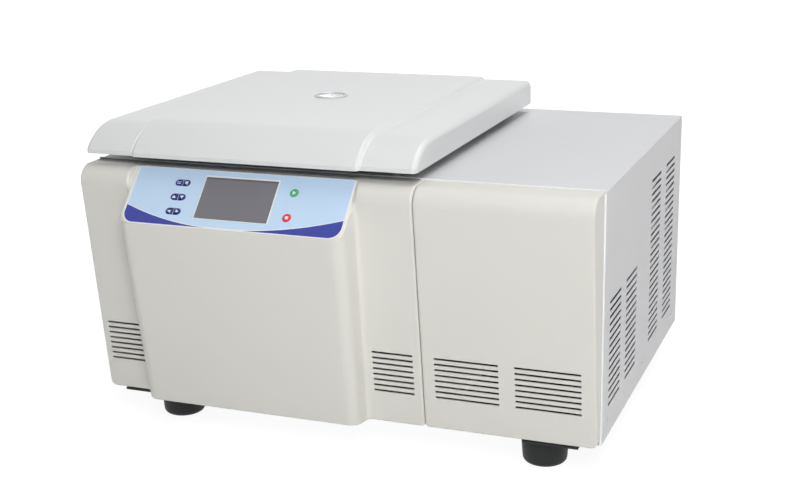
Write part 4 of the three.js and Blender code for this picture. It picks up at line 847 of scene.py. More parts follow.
quarter = np.linspace(0, np.pi / 2, 9)
bulge_lines = np.concatenate([
    *[BULGE_HALF - radius * (1 - np.sin(quarter)) for radius in (SHOULDER_LOW, SHOULDER_HIGH)],
    np.linspace(BULGE_HALF, ROOT_HALF, 5), ROOT_HALF + COVE * (1 - np.cos(quarter)),
])
print("bulge half width:", BULGE_HALF, "mm")

# %% [markdown]
# ## The skin of a moulding
# The real shells have no sharp edge where a finger could catch: the foot curls under, both ends
# are round, and the lower corners are round in front view. Bevels would do that on a solid block,
# but on a skin it is simpler to bend the rows and columns themselves, close to each edge.
# %% Rows of a section
SLOT_HIGH, SLOT_PITCH, SLOT_COUNT, SLOT_RISE = 3.3, 8.3, 8, 51.0
STEP_BACK, STEP_DEEP, STEP_EDGES, TINY = 15.1, 1.6, [124.75, 124.8], 0.05
FRONT_FROM, CELL, ROW = 8.0, 12.0, 5.0
slot_heights = cover_bottom + SLOT_RISE + SLOT_PITCH * np.arange(SLOT_COUNT)
top_lines = np.array([BACK, -ROW, -2 * ROW, TINY - STEP_BACK, -STEP_BACK])


def towards_back(front_y):
    """Rows between the back and a front edge, first at fixed places and then halfway."""
    fixed = top_lines[:, None] + 0 * front_y
    return np.concatenate([fixed, (fixed[-1:] + front_y) / 2])


def section_rows(x, t, inset, heights, lift):
    """One section of a moulding for each column, from the back of its top to that of its foot.

    The heights above the roll's start shrink with its radius, those under the slots are squeezed
    by the foot's lift, and the foot is a quarter round of what the inset leaves.
    """
    start = roll_z - ROLL * math.sin(FACE_LEAN)
    z = heights[:, None] + 0 * x
    z = np.where(z > start, roll_z + (z - roll_z) * (ROLL - inset) / ROLL, z)
    foot = MOULD_LOW + lift
    low_slot = slot_heights[0] - SLOT_HIGH
    squeeze = (low_slot - foot - EDGE) / (low_slot - MOULD_LOW - EDGE)
    z = np.where(z < low_slot, low_slot - (low_slot - z) * squeeze, z)

    def y_at(height):
        """The flank's section, less the depth of the bulge."""
        return flank_y(height, inset) - (0 * x if t is None else depth(t, height))

    y = y_at(z)
    top_y = towards_back(y[:1])
    angle = np.linspace(0, np.pi / 2, 6)[1:, None]
    curl = EDGE - inset
    curl_z = foot + inset + curl * (1 - np.sin(angle))
    curl_y = y_at(curl_z) + curl * (1 - np.cos(angle))
    foot_y = towards_back(curl_y[-1:])[::-1]
    ys = np.concatenate([top_y, y, curl_y, foot_y])
    zs = np.concatenate([0 * top_y + z[:1], z, curl_z, 0 * foot_y + curl_z[-1:]])
    return np.stack([0 * ys + x, ys + sheet_front, zs], -1)


def corner_lift(x, left, right, rounds):
    """How much the foot rises towards each end: a quarter round in front view."""
    total = 0 * x
    for gap, radius in ((x - left, rounds[0]), (right - x, rounds[1])):
        inside = np.clip(radius - gap, 0, radius)
        total = total + radius - np.sqrt(radius**2 - inside**2)
    return total


def stepped(grid, left):
    """The back of the top, let down by a step in which the rubber strip lies."""
    rear = grid[..., 1] > sheet_front - STEP_BACK + TINY / 2
    top = grid[..., 2] > MOULD_TOP - EDGE
    under = (grid[..., 0] > left + EDGE) & (grid[..., 0] < STEP_EDGES[1])
    grid[..., 2] -= STEP_DEEP * (rear & top & under)


print("slots between", slot_heights[0].round(1), "and", slot_heights[-1].round(1), "mm up")

# %% The whole skin
def moulding_sheets(left, right, openings, has_bulge, rounds):
    """The skin between two ends, each with a round edge and a flat end face."""
    fine_ends = [left + np.arange(EDGE, rounds[0] + 1, 1.0),
                 right - np.arange(EDGE, rounds[1] + 1, 1.0)]
    columns = [*fine_ends, *[o[:2] for o in openings]]
    roll = roll_z + ROLL * np.sin(np.linspace(-FACE_LEAN, np.pi / 2, 14))
    rows = [[MOULD_LOW + EDGE], roll, *[o[2:] for o in openings]]
    if has_bulge:
        columns += [chamber_x - bulge_lines, chamber_x + bulge_lines, STEP_EDGES]
        rows += [np.linspace(lip_low, lip_high, 9), np.linspace(lip_high, lip_high + ROLL, 11)]
    xs = spread(np.concatenate(columns), CELL)
    heights = spread(np.concatenate(rows), CELL)[::-1]
    angle = np.linspace(0, np.pi / 2, 6)[:-1]
    along, deep = EDGE * (1 - np.cos(angle)), (EDGE - LEAST_CURL) * (1 - np.sin(angle))
    x = np.concatenate([left + along, xs, (right - along)[::-1]])
    inset = np.concatenate([deep, 0 * xs, deep[::-1]])
    t = abs(x - chamber_x)[None] if has_bulge else None
    lift = corner_lift(x, left, right, rounds)
    grid = section_rows(x[None], t, inset[None], heights, lift[None])
    if has_bulge:
        stepped(grid, left)
        grid[..., 0] += side_shift(grid[..., 0], grid[..., 2])
    behind = (grid[:-1, :-1, 1] + grid[1:, 1:, 1]) / 2 >= sheet_front - FRONT_FROM
    ends = []
    lines = slice(len(top_lines) + 1, -len(top_lines) - 1)
    for edge in (grid[lines, 0], grid[lines, -1]):
        back = towards_back((edge[:, 1] - sheet_front)[None])[::-1] + sheet_front
        ys = np.concatenate([edge[None, :, 1], back])
        ends.append(np.stack([0 * ys + edge[:, 0], ys, 0 * ys + edge[:, 2]], -1))
    return [(grid, closed_cells(grid, 0, openings) | behind), *ends]


print("rows of slots:", SLOT_COUNT)

# %% [markdown]
# ## The two mouldings
# The left one carries the keys, the screen and two groups of slots, and the right one two wider
# groups. The slots and windows could be cut by Booleans; leaving cells out of the grid gives the
# same straight edges, and the wall closes them.
# %% Openings, and both pieces
NARROW, WIDE, SEAM_SHOWN, SHEET_SHOWN = 60.0, 91.0, 0.3, 1.8
FROM_SEAM, FROM_LEFT, FROM_RIGHT, WIDE_GAP = 12.5, 10.5, 21.6, 22.5
KEY_PAIR, KEY_LINES = (-102.4, -77.2, 5.6), (22.9, 0.0, -22.9)
ROUND_HOLE, ROUND_LINES = (75.8, 89.4, 6.8), (19.4, -19.4)
GLASS_HOLE = (-49.6, 49.6, -24.6, 29.2)
CORNERS_MAIN, CORNERS_SIDE = (9.0, 5.0), (5.0, 9.0)


def slots(start, width):
    """Openings of one group of slots: half a slot's height over and under each line."""
    return [(start, start + width, z - SLOT_HIGH / 2, z + SLOT_HIGH / 2) for z in slot_heights]


def panel_opening(left, right, low, high):
    """An opening in the slope: distances up the panel, times the tilt's sine, are heights."""
    return (chamber_x + left, chamber_x + right,
            panel_z + low * math.sin(TILT), panel_z + high * math.sin(TILT))


panel_openings = [panel_opening(*GLASS_HOLE)]
for (hole_left, hole_right, half), hole_lines in ((KEY_PAIR, KEY_LINES), (ROUND_HOLE, ROUND_LINES)):
    panel_openings += [panel_opening(hole_left, hole_right, y - half, y + half) for y in hole_lines]
seam_x = (main_high[0] + side_low[0]) / 2
narrow_slots = slots(seam_x - FROM_SEAM - NARROW, NARROW) + slots(cabinet_left + FROM_LEFT, NARROW)
wide = cabinet_right - FROM_RIGHT - WIDE
wide_slots = slots(wide, WIDE) + slots(wide - WIDE_GAP - WIDE, WIDE)
main_skin = moulding_sheets(
    main_low[0], main_high[0] - SEAM_SHOWN, narrow_slots + panel_openings, True, CORNERS_MAIN
)
side_skin = moulding_sheets(
    side_low[0] + SEAM_SHOWN, side_high[0] - SHEET_SHOWN, wide_slots, False, CORNERS_SIDE
)
wall(make("fascia_main", main_skin, ["main_fascia"], facing=(0, -1, 0)), WALL, WALL_EDGE)
wall(make("fascia_side", side_skin, ["side_fascia"], facing=(0, -1, 0)), WALL, WALL_EDGE)

# %% [markdown]
# ## The sheet covers
# One folded sheet makes the bay's top and right side. Its louvres are cut and pressed: below every
# slot the sheet leans inwards a little, which catches the light from above. A screw sits in a
# shallow pressed dimple, so that its head stays under the sheet's face. Both could be bump in a
# material, but light and shade at a slot's edge need the real form.
# %% Dimples and louvres of a side
SHEET, SHEET_EDGE, FOLD, SIDE_IN = 1.0, 0.3, 2.4, 0.15
LOUVRE_HIGH, LOUVRE_LONG, LOUVRE_PITCH, LOUVRE_RISE = 5.2, 70.0, 10.4, 43.5
# Each column of louvres: how far behind the front it starts, and its number of slots.
LOUVRES = [(37.0, 15), (139.5, 15), (306.0, 25), (417.0, 25)]
PRESSED, PRESS_RUN, PRESS_END = 0.9, 2.2, 1.5
SCREWS = [(40.3, 22.4), (269.0, 21.3), (499.5, 24.5)]
DIMPLE, DIMPLE_DEEP, BIG_CELL, SAME = 8.0, 1.2, 24.0, 1e-3
screw_places = [(sheet_front + y, cover_bottom + z) for y, z in SCREWS]
louvre_openings = [
    (sheet_front + y, sheet_front + y + LOUVRE_LONG, z - LOUVRE_HIGH / 2, z + LOUVRE_HIGH / 2)
    for y, count in LOUVRES
    for z in cover_bottom + LOUVRE_RISE + LOUVRE_PITCH * np.arange(count)
]


def dimples(y, z):
    """Depth of the pressed dimples: a flat floor and a cone, falling with the distance."""
    return sum(
        DIMPLE_DEEP * np.clip(2.0 - 2.0 * np.hypot(y - a, z - b) / DIMPLE, 0, 1)
        for a, b in screw_places
    )


def side_sheet(face, sign, openings, top):
    """A side's skin: columns run to the back, rows up the side, and sign says which way is out.

    It leans in below an opening as a share of the way down, less towards the opening's ends.
    """
    y0, y1, z0, z1 = np.array(openings).reshape(-1, 4).T
    around = np.array(screw_places).T[..., None] + np.linspace(-DIMPLE, DIMPLE, 13)
    columns = [[sheet_front, sheet_back], y0, y0 + PRESS_END, y1 - PRESS_END, y1, around[0].ravel()]
    rows = [[cover_bottom, top], z0, z1, z0 - PRESS_RUN, z0 - PRESS_RUN / 2, around[1].ravel()]
    y, z = np.meshgrid(
        spread(np.concatenate(columns), BIG_CELL), spread(np.concatenate(rows), BIG_CELL)
    )
    inwards = dimples(y, z)
    for start, end, low, _ in openings:
        near = np.clip((y - start) / PRESS_END, 0, 1) * np.clip((end - y) / PRESS_END, 0, 1)
        fall = np.clip(1 - (low - z) / PRESS_RUN, 0, 1) * (z <= low + SAME)
        inwards = inwards + PRESSED * near * fall
    grid = np.stack([face - sign * inwards, y, z], -1)
    return grid, closed_cells(grid, 1, openings)


print("louvres:", len(louvre_openings))

# %% The bay's folded cover and the left side
side_face = cabinet_right - SIDE_IN
skin = side_sheet(side_face, 1, louvre_openings, deck_top - FOLD)
top_x = spread(np.array([cover_low[0], side_face - FOLD]), BIG_CELL)[::-1]
over_edge = np.array([
    *arc((side_face - FOLD, deck_top - FOLD), FOLD, 0, 90, 8), *[(x, deck_top) for x in top_x[1:]]
])
fold_x, fold_y = np.meshgrid(over_edge[:, 0], skin[0][0, :, 1], indexing="ij")
top_skin = np.stack([fold_x, fold_y, over_edge[:, 1:] + 0 * fold_y], -1)
bay_cover = make("bay_cover", [skin, top_skin], ["cabinet_cover"], facing=(1, 0, 1))
wall(bay_cover, SHEET, SHEET_EDGE)

# Two folded edges: the top's upturned one, and the one that stands beside the right moulding.
# Both have a near-white paint: a painted highlight along their lit edges.
HEM_THICK, HEM_ROUND, EDGE_OUT, EDGE_LONG = 2.0, 0.9, 0.28, 5.0
hem = bar((cover_low[0], sheet_front, deck_top - SHEET),
          (cabinet_right - FOLD, sheet_front + HEM_THICK, deck_top + HEM), HEM_ROUND, 0)
make("cover_hem", [hem], like="cabinet_cover", finish="painted_edge_highlight")
edge = bar((cabinet_right - 2 * SHEET_SHOWN, sheet_front - EDGE_OUT, cover_bottom),
           (cabinet_right, sheet_front + EDGE_LONG, deck_top - FOLD), HEM_ROUND, 2)
make("cover_edge", [edge], like="cabinet_cover", finish="painted_edge_highlight")
left_skin = side_sheet(cabinet_left, -1, [], corners("left_side_panel")[1][2])
wall(make("left_sheet", [left_skin], ["left_side_panel"], facing=(-1, 0, 0)), SHEET, SHEET_EDGE)

# %% Screws: a low head with a recess, in its dimple
HEAD_PROFILE = [
    (0.0, 0.25), (1.3, 0.25), (1.5, 0.75), (2.4, 0.85), (3.2, 0.5), (3.6, 0.0), (3.6, -0.6),
    (0.0, -0.6),
]
for face, sign, side in ((side_face, 1, "right"), (cabinet_left, -1, "left")):
    profile = [(r, sign * (h - DIMPLE_DEEP)) for r, h in HEAD_PROFILE]
    for number, (y, z) in enumerate(screw_places, 1):
        make(f"screw_{side}_{number}", [turned(profile, (face, y, z), "x", 24)], like="latch_bolt")
print("screws:", 2 * len(SCREWS))

# %% [markdown]
# ## The lid
# The lid is one moulded shell. Its section runs up a quarter of a wide arc at the front, flat to
# the back, and down over a small round. Two grooves run from front to back, and the field between
# them is a little higher than the wings outside. The field could be a second sheet on top, but on
# the real lid it is the same skin. So here it is one section, set deeper or higher per column.
# %% Section of the lid
lid_low, lid_high = corners("lid_shell")
LID_BOTTOM, LID_HEIGHT, LID_RAISE, LID_OVER = lid_low[2], 37.9, 5.0, 36.0
LID_TOP = LID_BOTTOM + LID_HEIGHT
LID_FRONT, LID_BACK = sheet_front - LID_OVER, lid_high[1]
FRONT_RADIUS, FRONT_ANGLE = 88.0, math.radians(50.5)
BACK_RADIUS, LEAST_BACK, SIDE_RADIUS = 12.0, 3.0, 8.0
FALL_EARLY, FALL_HALF, DIP_DEEP, DIP_AT, DIP_WIDE = 0.15, 0.75, 0.8, 0.6, 0.32
flat_start = LID_FRONT + FRONT_RADIUS * math.sin(FRONT_ANGLE)


def lid_rows(x, inset, ys):
    """A section of the lid for each column, from the front's lower edge over to the back's.

    The front is an arc of the radius less the inset, turned from where it meets the same foot.
    """
    radius = FRONT_RADIUS - inset
    sweep = np.arccos(FRONT_RADIUS * math.cos(FRONT_ANGLE) / radius)
    angle = sweep * np.linspace(1, 0, 25)[:, None]
    arc_y = flat_start - radius * np.sin(angle)
    arc_z = LID_TOP - FRONT_RADIUS + radius * np.cos(angle)
    top = LID_TOP - inset
    edge = BACK_RADIUS - np.minimum(inset, BACK_RADIUS - LEAST_BACK)
    behind = LID_BACK - np.maximum(inset, 0)
    bend = np.linspace(np.pi / 2, 0, 9)[:, None]
    bend_y, bend_z = behind - edge * (1 - np.cos(bend)), top - edge * (1 - np.sin(bend))
    flat_y = ys[:, None] + 0 * x
    y = np.concatenate([arc_y[:1], arc_y, flat_y, bend_y, bend_y[-1:]])
    z = np.concatenate([0 * arc_z[:1] + LID_BOTTOM, arc_z, 0 * flat_y + top, bend_z,
                        0 * bend_z[-1:] + LID_BOTTOM])
    return np.stack([0 * y + x, y, z], -1)


def groove(t):
    """Depth across a groove: half a sine from the raised field to the wing, and a bell's dip."""
    fall = 0.5 - 0.5 * np.sin(np.pi / 2 * np.clip((t + FALL_EARLY) / FALL_HALF, -1, 1))
    return -LID_RAISE * fall + DIP_DEEP * np.exp(-(((t - DIP_AT) / DIP_WIDE) ** 2))


print("lid:", round(float(LID_BACK - LID_FRONT)), "mm deep")

# %% Columns and rows of the lid
PATCH_HALF, PATCH_STEPS, FLAT_MARGIN = 34.0, 16, 1.0
LID_COLUMN, LID_ROW, GROOVE_IN = 14.0, 16.0, 80.5
lid_half = (lid_high[0] - lid_low[0]) / 2
GROOVE_X, GROOVE_WIDE, GROOVE_REACH = lid_half - GROOVE_IN, 4.0, 1.2
patch_lines = np.linspace(-PATCH_HALF, PATCH_HALF, PATCH_STEPS + 1)
groove_t = np.linspace(-GROOVE_REACH, GROOVE_REACH, 17)
groove_x = GROOVE_X + groove_t * GROOVE_WIDE
field_x = spread(np.append(patch_lines, [-groove_x[0], groove_x[0]]), LID_COLUMN)
wing_x = spread(np.array([groove_x[-1], lid_half - SIDE_RADIUS]), LID_COLUMN)[1:-1]
turn = np.linspace(np.pi / 2, 0, 9)
half_x = np.concatenate([groove_x[1:], wing_x, lid_half - SIDE_RADIUS * (1 - np.cos(turn))])
half_in = np.concatenate([groove(groove_t[1:]), 0 * wing_x, SIDE_RADIUS * (1 - np.sin(turn))])
lid_x = np.concatenate([-half_x[::-1], field_x, half_x])
lid_in = np.concatenate([half_in[::-1], 0 * field_x - LID_RAISE, half_in])
flat_end = LID_BACK - BACK_RADIUS - LID_RAISE
lid_y = spread(np.append(chamber_y + patch_lines,
                         [flat_start + FLAT_MARGIN, flat_end - FLAT_MARGIN]), LID_ROW)
lid_grid = lid_rows(chamber_x + lid_x[None], lid_in[None], lid_y)
print("lid grid:", lid_grid.shape[:2])

# %% [markdown]
# ## The window's hole
# A grid has straight lines and the window is round. A Boolean would leave long thin faces on the
# shiny skin. So a square patch is left out, and filled with rows that lead from its rim to the
# circle: each point goes straight towards the window's middle.
# %% Lid shell with a round opening
HOLE, LID_WALL, LID_EDGE = 24.3, 3.0, 0.4
lid_middle = (lid_grid[:-1, :-1] + lid_grid[1:, 1:]) / 2
from_window = abs(lid_middle[..., :2] - [chamber_x, chamber_y])
lid_keep = ~((from_window < PATCH_HALF).all(-1) & (lid_middle[..., 2] > LID_TOP))
lid_sides = []
for column in (lid_grid[:, 0], lid_grid[:, -1]):
    down = np.stack([column[:, 0], column[:, 1], 0 * column[:, 2] + LID_BOTTOM], -1)
    lid_sides.append(np.stack([column, down], 1)[1:-1])
run, back = patch_lines[:-1], patch_lines[:0:-1]
still = 0 * run + PATCH_HALF
square = np.stack([np.concatenate([run, still, back, -still, run[:1]]),
                   np.concatenate([-still, run, still, back, -still[:1]])], -1)
circle = HOLE * square / np.linalg.norm(square, axis=-1, keepdims=True)
share = np.linspace(0, 1, 4)[:, None, None]
patch = square * (1 - share) + circle * share + [chamber_x, chamber_y]
patch = np.concatenate([patch, np.full((*patch.shape[:2], 1), LID_TOP + LID_RAISE)], -1)
lid_shell = make("lid_moulding", [(lid_grid, lid_keep), *lid_sides, patch], ["lid_shell"],
                 facing=(0, 0, 1))
wall(lid_shell, LID_WALL, LID_EDGE)

# %% [markdown]
# ## Window of the lid
# A ring stands a little above the lid, with a soft shoulder, and holds a round pane. Both could be
# cylinders with bevelled edges; turning a drawn section gives the seat for the pane as well.
# %% Window ring and pane
RING_IN, SLEEVE, SEAT, RIM_ROUND, SHOULDER_ROUND, INNER_ROUND = 18.0, 24.0, 0.3, 0.4, 0.7, 0.6
PANE_FOOT, PANE_ROUND = 0.4, 0.5
ring_low, ring_high = corners("window_ring")
pane_low, pane_high = corners("window_glass")
ring_out, pane = (ring_high[0] - ring_low[0]) / 2, (pane_high[0] - pane_low[0]) / 2
rim_low, rim_top = LID_TOP + LID_RAISE + SEAT, ring_high[2]
ring_profile = [
    (RING_IN, ring_low[2]), (SLEEVE, ring_low[2]), (SLEEVE, rim_low),
    (ring_out - RIM_ROUND / 2, rim_low),
    *arc((ring_out - RIM_ROUND, rim_low + RIM_ROUND), RIM_ROUND, -30, 70, 5),
    *arc((SLEEVE + INNER_ROUND, rim_top - SHOULDER_ROUND), SHOULDER_ROUND, 60, 90, 4),
    *arc((pane + SEAT + INNER_ROUND, rim_top - INNER_ROUND), INNER_ROUND, 90, 180, 5),
    (pane + SEAT, pane_high[2] - SEAT), (pane + SEAT, pane_low[2] - SEAT),
    (RING_IN, pane_low[2] - SEAT), (RING_IN, ring_low[2]),
]
pane_profile = [
    (0.0, pane_low[2]), (pane - PANE_FOOT, pane_low[2]), (pane, pane_low[2] + PANE_FOOT),
    (pane, pane_high[2] - PANE_ROUND), (pane - PANE_ROUND, pane_high[2]), (0.0, pane_high[2]),
]
chamber = (chamber_x, chamber_y, 0.0)
make("window_bezel", [turned(ring_profile, chamber)], ["window_ring"])
make("window_pane", [turned(pane_profile, chamber)], ["window_glass"])

# %% [markdown]
# ## Keys
# Each key is a stem with a crowned top, which a finger finds without looking. A scaled ball could
# give the crown, but not the straight side of the D-shaped ones. So the outline is drawn smaller
# towards the middle, and the height falls as the fourth power of the share: nearly flat in the
# middle and round at the rim.
# %% Crowned keys
KEY_HALF_WIDE, KEY_HALF_HIGH, ROUND_KEY, KEY_STEM, KEY_TOP = 5.5, 5.0, 6.2, -5.2, 1.8
FLAT_SIDE_GAP, CROWN = 0.9, 0.7
CROWN_SHARES = np.array([0.0, 0.3, 0.55, 0.75, 0.88, 0.95, 1.0, 1.0, 1.0, 0.0])


def on_panel(u, v, w):
    """Points along the panel, up it and out of it, turned about the tilt into their place."""
    return np.stack([
        chamber_x + u,
        sheet_front - PANEL_OUT + v * math.cos(TILT) - w * math.sin(TILT),
        panel_z + v * math.sin(TILT) + w * math.cos(TILT),
    ], -1)


def key_sheet(outline, at):
    """A pole, rings out to the rim, and a stem down to a flat foot."""
    height = KEY_TOP - CROWN * CROWN_SHARES**4
    height[-3:] = [0.0, KEY_STEM, KEY_STEM]
    u = at[0] + CROWN_SHARES[:, None] * outline[None, :, 0]
    v = at[1] + CROWN_SHARES[:, None] * outline[None, :, 1]
    return on_panel(u, v, height[:, None] + 0 * u)


bow = np.linspace(-np.pi / 2, np.pi / 2, 25)
flat_side = np.linspace(KEY_HALF_HIGH, -KEY_HALF_HIGH, 9)[1:]
d_shape = np.concatenate([
    np.stack([KEY_HALF_WIDE * np.cos(bow), KEY_HALF_HIGH * np.sin(bow)], -1),
    np.stack([0 * flat_side - KEY_HALF_WIDE + FLAT_SIDE_GAP, flat_side], -1),
])
whole_turn = np.linspace(0, 2 * np.pi, 49)
disc = ROUND_KEY * np.stack([np.cos(whole_turn), np.sin(whole_turn)], -1)
out_of_middle = (KEY_TOP + KEY_STEM) / 2 * math.cos(TILT) / math.sin(TILT)
for name, (colour, _) in KEYS.items():
    centre = middle(name)
    at = (centre[0] - chamber_x, (centre[2] - panel_z) / math.sin(TILT) - out_of_middle)
    facing_side = -1 if name.endswith("left") else 1
    outline = d_shape * facing_side if colour == "key_blue" else disc
    make(name.replace("key", "cap"), [key_sheet(outline, at)], [name])

# %% [markdown]
# ## Feet and rails
# Each foot is a turned block of rubber on a screw: it narrows downwards to a round edge, with a
# shallow ring in its sole and a recess for the screw's head. The rails above them are plain steel
# bars whose noses reach a little under the mouldings, where they show as a thin black line. Both
# could be primitives with bevels, but each has one drawn section all the way, so the foot is
# turned and the rail carried along.
# %% Feet and rails
FOOT_OUT, FOOT_TOP_OUT, FOOT_EDGE, FOOT_RIM = 31.2, 33.6, 8.0, 1.0
SCREW_HOLE, SCREW_DEEP, SOLE_RING, SOLE_ROUND = 7.0, 12.0, 15.0, 1.2
RAIL_NOSE, RAIL_ROUND = 14.0, 0.6
RAIL_MOVES = {"base_rail_left": (8.0, 0.0), "base_rail_right": (9.0, 2.5)}
foot_top = corners("foot_front_left")[1][2]
FOOT_PROFILE = [
    (0.0, SCREW_DEEP), (SCREW_HOLE, SCREW_DEEP),
    *arc((SCREW_HOLE + SOLE_ROUND, SOLE_ROUND), SOLE_ROUND, 180, 270, 5),
    *arc((SOLE_RING, 0.0), SOLE_ROUND, 180, 0, 7),
    *arc((FOOT_OUT - FOOT_EDGE, FOOT_EDGE), FOOT_EDGE, -90, 0, 9),
    *arc((FOOT_TOP_OUT - FOOT_RIM, foot_top - FOOT_RIM), FOOT_RIM, 0, 90, 5), (0.0, foot_top),
]
for corner in ("front_left", "front_right", "rear_left", "rear_right"):
    x, y = middle(f"foot_{corner}")[:2]
    make(f"rubber_foot_{corner}", [turned(FOOT_PROFILE, (x, y, 0.0))], [f"foot_{corner}"])
for node, (left_move, right_move) in RAIL_MOVES.items():
    low, high = corners(node)
    nose = (low[0] + left_move, sheet_front - RAIL_NOSE, low[2])
    tail = (high[0] + right_move, high[1], high[2])
    make(node.replace("base_", "steel_"), [bar(nose, tail, RAIL_ROUND, 1)], [node])

# %% [markdown]
# ## Rubber seals
# The lid presses on a hollow rubber profile that runs round the deck. Its section is a foot with a
# round bulb on top. A curve with a bevel could draw it, but its corners would pinch; here the
# section is carried along a rectangle with round corners, outwards at each point. The lip of the
# bowl's mouth is a ring of the same rubber, so its section is turned.
# %% Gasket of the lid
CORNER, FOOT_WIDE, FOOT_HIGH, NECK_HIGH, NECK_IN, BULB = 18.0, 12.0, 2.2, 3.4, 2.2, 5.2


def rounded_path(low, high, corner, steps=10):
    """A closed rectangle with round corners, and the outward direction at each of its points."""
    points, outwards = [], []
    for (sx, sy), start in (((1, 1), 0), ((-1, 1), 90), ((-1, -1), 180), ((1, -1), 270)):
        centre = [high[0] - corner if sx > 0 else low[0] + corner,
                  high[1] - corner if sy > 0 else low[1] + corner]
        angle = np.radians(np.linspace(start, start + 90, steps))
        way = np.stack([np.cos(angle), np.sin(angle)], -1)
        outwards.append(way)
        points.append(np.array(centre) + corner * way)
    points, outwards = np.concatenate(points), np.concatenate(outwards)
    return np.concatenate([points, points[:1]]), np.concatenate([outwards, outwards[:1]])


def carried(section, path, outwards):
    """A closed section of (out, height) points carried along a path; the path is its outer edge."""
    section = np.array([*section, section[0]], float)
    flat_points = path[None] + section[:, :1, None] * outwards[None]
    height = section[:, 1][:, None] + 0 * flat_points[..., 0]
    return np.concatenate([flat_points, height[..., None]], -1)


gasket_low, gasket_high = corners("lid_gasket")
base, crest = gasket_low[2], gasket_high[2]
gasket_section = [
    (-FOOT_WIDE, base), (0.0, base), (0.0, base + FOOT_HIGH), (-NECK_IN, base + NECK_HIGH),
    *arc((-FOOT_WIDE / 2, crest - BULB), BULB, -35, 215, 17),
    (NECK_IN - FOOT_WIDE, base + NECK_HIGH), (-FOOT_WIDE, base + FOOT_HIGH),
]
gasket_path = rounded_path(gasket_low[:2], gasket_high[:2], CORNER)
make("gasket_profile", [carried(gasket_section, *gasket_path)], ["lid_gasket"])

# %% Lip of the bowl's mouth
LIP_WIDE, LIP_ROUND, CREST_ROUND, FINE_SIDES = 10.0, 1.0, 1.4, 128


def radius_and_heights(node):
    """Half the width of a packed round solid, and its lowest and highest height."""
    low, high = corners(node)
    return (high[0] - low[0]) / 2, low[2], high[2]


seal_out, seal_z, seal_top = radius_and_heights("mouth_seal")
seal_in, seal_middle = seal_out - LIP_WIDE, (seal_z + seal_top) / 2
seal_profile = [
    (seal_in, seal_z), (seal_out, seal_z),
    *arc((seal_out - LIP_ROUND, seal_middle - LIP_ROUND), LIP_ROUND, 0, 60, 4),
    *arc(((seal_in + seal_out) / 2, seal_top - CREST_ROUND), CREST_ROUND, 40, 140, 6),
    *arc((seal_in + LIP_ROUND, seal_middle - LIP_ROUND), LIP_ROUND, 120, 180, 4),
    (seal_in, seal_z),
]
make("mouth_lip", [turned(seal_profile, chamber, sides=FINE_SIDES)], ["mouth_seal"])

# %% [markdown]
# ## Strip and fold behind the front
# A rubber strip lies in the step behind the left moulding, and behind it the deck's sheet is
# folded up. Both lie in shade under the lid, and both are painted light as a painted highlight, so
# that they show as light lines in the gap. A scaled cube with a bevel would have rounds of uneven
# width; the rounded bar is drawn at its real size.
# %% Strip and fold
STRIP_ROUND, FOLD_BACK, FOLD_OUT, FOLD_ABOVE, FOLD_OVER, FOLD_ROUND = 0.35, 1.6, 0.4, 0.6, 0.8, 0.7
strip_low, strip_high = corners("fascia_strip")
# The strip's finish is a painted highlight, lighter than the rubber itself.
make("front_strip", [bar(strip_low, strip_high, STRIP_ROUND, 0)], ["fascia_strip"],
     finish="strip_painted_highlight")
# The fold has the same near-white paint: a painted highlight on its edge in the shade under the
# lid.
fold = bar((strip_low[0], sheet_front - FOLD_BACK, strip_high[2] + FOLD_ABOVE),
           (strip_high[0], sheet_front + FOLD_OUT, deck_top + HEM + FOLD_OVER), FOLD_ROUND, 0)
make("deck_fold", [fold], like="top_deck", finish="painted_edge_highlight")

# %% [markdown]
# ## The motor's damper
# The drive motor stands on a thick rubber ring with a waist, which takes up the shaking of an
# uneven load. It could be a squeezed torus, but a turned section with a hollow arc gives the waist
# and also the two flat faces.
# %% Damper with a waist
RUBBER_WIDE, RUBBER_EDGE, WAIST_OUT, WAIST_ROUND = 32.0, 1.0, 8.0, 14.0
damper_out, damper_z, damper_top = radius_and_heights("motor_damper")
damper_in, waist_z = damper_out - RUBBER_WIDE, (damper_z + damper_top) / 2
damper_profile = [
    (damper_in, damper_z), (damper_out - RUBBER_EDGE, damper_z),
    (damper_out, damper_z + RUBBER_EDGE),
    *arc((damper_out + WAIST_OUT, waist_z), WAIST_ROUND, 230, 130, 9),
    (damper_out, damper_top - RUBBER_EDGE), (damper_out - RUBBER_EDGE, damper_top),
    (damper_in, damper_top), (damper_in, damper_z),
]
make("damper_ring", [turned(damper_profile, chamber)], ["motor_damper"])

# %% [markdown]
# ## The chamber's bowl
# The bowl is spun from sheet on a lathe, so its section is a wall of even thickness with a round
# floor edge and a rolled flange. A cup with a Solidify wall would do, but the rolled flange needs
# its inner and outer rounds about one centre, and so the whole section is drawn.
# %% The spun bowl
BOWL, BOWL_WALL, BOWL_ROUND, FLANGE, DRAIN = 185.0, 1.2, 18.0, 12.5, 22.0
ROLL_AT, ROLL_IN, BOWL_SIDES = 4.0, 2.8, 144
bowl_low, bowl_high = corners("chamber_bowl")
floor_z, flange_z = bowl_low[2] + BOWL_WALL, bowl_high[2] - BOWL_WALL
floor_round = (BOWL - BOWL_ROUND, floor_z + BOWL_ROUND)
flange_round = (BOWL + ROLL_AT, flange_z - ROLL_IN)
bowl_profile = [
    (DRAIN, floor_z - BOWL_WALL), *arc(floor_round, BOWL_ROUND + BOWL_WALL, -90, 0, 12),
    *arc(flange_round, ROLL_IN, 180, 90, 6),
    (BOWL + FLANGE, flange_z), (BOWL + FLANGE, flange_z + BOWL_WALL),
    *arc(flange_round, ROLL_IN + BOWL_WALL, 90, 180, 8),
    *arc(floor_round, BOWL_ROUND, 0, -90, 12),
    (DRAIN, floor_z), (DRAIN, floor_z - BOWL_WALL),
]
make("spun_bowl", [turned(bowl_profile, chamber, sides=BOWL_SIDES)], ["chamber_bowl"])

